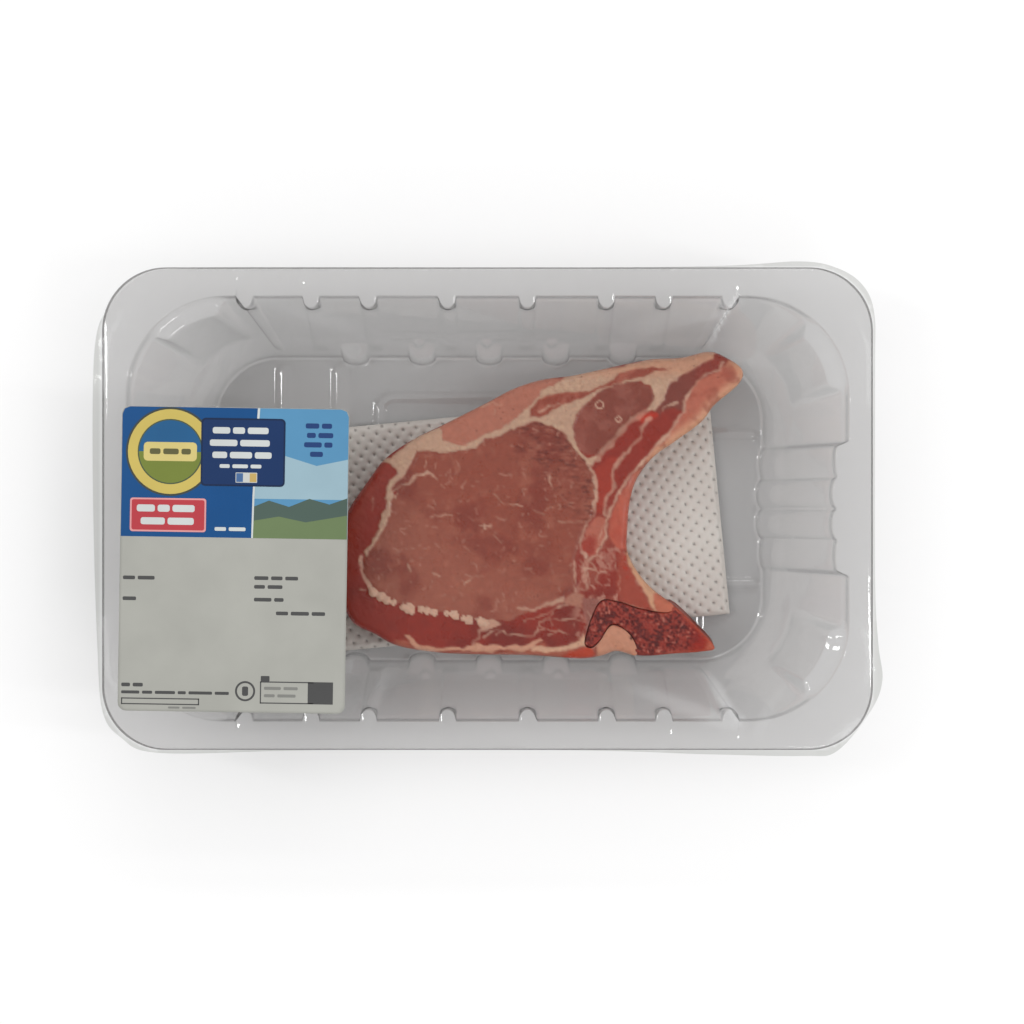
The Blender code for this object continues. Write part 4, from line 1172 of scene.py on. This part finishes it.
BLUE, NAVY, SKY_BLUE, WHITE = (4, 72, 128), (12, 46, 92), (84, 140, 178), (200, 204, 202)
INK, GREY_INK = (74, 74, 74), (128, 128, 124)
BAND_BOTTOM = 38.7
PRINT = (
    # colour, layer, outlines
    (BLUE, 1,
    [[(0.15, 2.4), (0.8, 0.8), (2.4, 0.15), (40.6, 0.15), (39.9, 12), (39.3, 26), (39.0, BAND_BOTTOM),
                (0.15, BAND_BOTTOM)]]),
    (SKY_BLUE, 1,
    [[(40.6, 0.15), (65.1, 0.15), (66.7, 0.8), (67.35, 2.4), (67.35, BAND_BOTTOM), (39.0, BAND_BOTTOM),
                    (39.3, 26), (39.9, 12)]]),
    ((150, 178, 190), 2, [[(40.0, 16), (48, 14), (58, 17), (67.3, 15), (67.3, 27), (39.3, 27)]]),
    ((74, 92, 84), 3, [[(39.2, 29.5), (44, 27.5), (50, 29.3), (56, 26.8), (62, 28.4), (67.3, 26.5),
                        (67.3, BAND_BOTTOM), (39.0, BAND_BOTTOM)]]),
    ((104, 122, 84), 4,
    [[(39.1, 33.6), (47, 32.2), (55, 33.8), (67.3, 31.6), (67.3, BAND_BOTTOM), (39.0, BAND_BOTTOM)]]),
    (WHITE, 5, [[(40.3, 0.15), (41.0, 0.15), (40.3, 12), (39.7, 26), (39.4, BAND_BOTTOM), (38.9, BAND_BOTTOM),
                 (39.1, 26), (39.7, 12)]]),
    ((60, 66, 60), 2, [disc(14.5, 13.4, 13.2)]),
    ((196, 176, 92), 3, [disc(14.5, 13.4, 12.6)]),
    ((70, 84, 62), 4, [disc(14.5, 13.4, 9.7)]),
    ((28, 88, 134), 5, [disc(14.5, 13.4, 9.3, 180, 180)]),
    ((112, 124, 52), 5, [disc(14.5, 13.4, 9.3, 0, 180)]),
    ((206, 190, 120), 6, [round_box(6.6, 10.6, 22.4, 16.2, 1.2)]),
    ((92, 90, 56), 7, bars(((8.4, 12.5, (3.2, 4.6, 2.8)),), 1.7)),
    ((12, 34, 68), 6, [round_box(23.6, 3.2, 48.6, 23.4, 1.3)]),
    (NAVY, 7, [round_box(24.1, 3.7, 48.1, 22.9, 1.0)]),
    (WHITE, 8,
    bars(((27.0, 5.9, (5.2, 3.6, 6.2)), (26.2, 9.6, (8.2, 8.8)), (27.0, 13.2, (4.4, 6.6, 5.0))), 1.9)),
    (WHITE, 8, bars(((29.2, 16.9, (3.0, 4.6, 3.2)),), 1.1)),
    ((196, 198, 194), 8, [round_box(34.0, 19.3, 40.4, 22.3, 0.2)]),
    ((70, 104, 150), 9, [round_box(34.2, 19.5, 36.2, 22.1, 0.1)]),
    ((190, 162, 96), 9, [round_box(38.2, 19.5, 40.2, 22.1, 0.1)]),
    ((216, 150, 150), 6, [round_box(2.8, 27.2, 25.4, 37.2, 0.8)]),
    ((178, 58, 66), 7, [round_box(3.3, 27.7, 24.9, 36.7, 0.6)]),
    (WHITE, 8, bars(((4.8, 29.2, (5.4, 3.6, 6.6)), (6.0, 33.0, (7.2, 7.8))), 2.1)),
    (WHITE, 8, bars(((28.0, 35.6, (3.4, 5.0)),), 1.1)),
    ((30, 60, 112), 5, bars(((54.6, 4.4, (4.0, 3.0)), (55.0, 7.2, (2.6, 4.4)), (54.2, 10.0, (5.2, 2.4)),
                             (56.0, 12.8, (3.8,))), 1.5)),
    (INK, 1,
    bars(((1.0, 50.4, (3.6, 5.0)), (1.0, 56.6, (4.0,)), (40.0, 50.0, (4.2, 3.4, 3.8)),
    (40.0, 52.6, (3.2, 4.4)),
                   (40.0, 56.4, (5.2, 2.8)), (46.6, 60.4, (3.6, 5.4, 4.0)), (1.0, 82.2, (2.6, 3.0))), 1.1)),
    (INK, 1, bars(((1.0, 84.5, (5.4, 3.0, 6.0, 2.4, 7.0, 4.2)),), 0.9)),
    (INK, 1, frame_lines(1.0, 86.6, 24.2, 88.6, 0.35)),
    (GREY_INK, 1, bars(((15.0, 89.1, (3.4, 4.0)),), 0.6)),
    (INK, 1, [disc(37.8, 84.2, 3.0)]),
    (PAPER, 2, [disc(37.8, 84.2, 2.4)]),
    (INK, 3, [round_box(36.9, 82.8, 38.7, 85.6, 0.5)]),
    (INK, 1, frame_lines(42.2, 81.2, 63.9, 87.8, 0.35)),
    (INK, 1, [round_box(42.4, 79.6, 45.0, 81.2, 0.2), round_box(56.4, 81.3, 63.8, 87.7, 0.2)]),
    (GREY_INK, 1, bars(((43.4, 82.8, (5.0, 4.2)), (43.4, 85.0, (3.2, 5.4))), 0.9)),
)


def label_paper():
    made, node = blank("label_paper")
    place = node("ShaderNodeTexCoord").outputs["Object"]
    ink = node("ShaderNodeAttribute", {"attribute_name": "ink"}).outputs["Color"]
    fibre = node("ShaderNodeTexNoise", Vector=place, Scale=1400.0, Detail=2.0)
    cloudy = node("ShaderNodeTexNoise", Vector=place, Scale=60.0, Detail=3.0)
    swing = node(
        "ShaderNodeMapRange", Value=cloudy.outputs[0], From_Min=0.3, From_Max=0.7, To_Min=0.95, To_Max=1.05
    )
    tone = node("ShaderNodeVectorMath", {"operation": "SCALE"}, _0=ink)
    made.node_tree.links.new(swing.outputs[0], tone.inputs["Scale"])
    wave = node("ShaderNodeBump", Strength=0.12, Distance=0.0002, Height=fibre.outputs[0])
    soft = node(
        "ShaderNodeMapRange", Value=cloudy.outputs[0], From_Min=0.3, From_Max=0.7, To_Min=0.34, To_Max=0.46
    )
    paint = node("ShaderNodeBsdfPrincipled", Base_Color=tone.outputs[0], Roughness=soft.outputs[0],
                 Normal=wave.outputs[0], Specular_IOR_Level=0.25)
    node("ShaderNodeOutputMaterial", Surface=paint.outputs[0])
    return made


paper_edge = close_points(round_box(0, 0, *LABEL_SIZE, LABEL_RADIUS))
flat, sheet_faces = filled(paper_edge, 1.4)
count = len(paper_edge)
points = np.vstack((on_label(flat, LABEL_TOP), on_label(flat, LABEL_BOTTOM)))
# label coordinates run downwards, so faces are turned over
faces = [tuple(face[::-1]) for face in sheet_faces]
for place in range(count):
    after = (place + 1) % count
    faces.append((place, after, len(flat) + after, len(flat) + place))
faces += [tuple(len(flat) + index for index in face) for face in sheet_faces]
inks = [np.tile(colour(*PAPER), (len(points), 1))]
sheets = [points]
start = len(points)
for paint, layer, outlines in PRINT:
    for outline in outlines:
        flat, sheet_faces = filled(close_points(outline), 1.4)
        sheets.append(on_label(flat, LABEL_TOP + 0.012 * layer))
        inks.append(np.tile(colour(*paint), (len(flat), 1)))
        faces += [tuple(start + index for index in face[::-1]) for face in sheet_faces]
        start += len(flat)
label = mesh_piece("label_paper", np.vstack(sheets), faces, label_paper(), values={"ink": np.vstack(inks)})
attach(label, "root")
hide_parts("label")
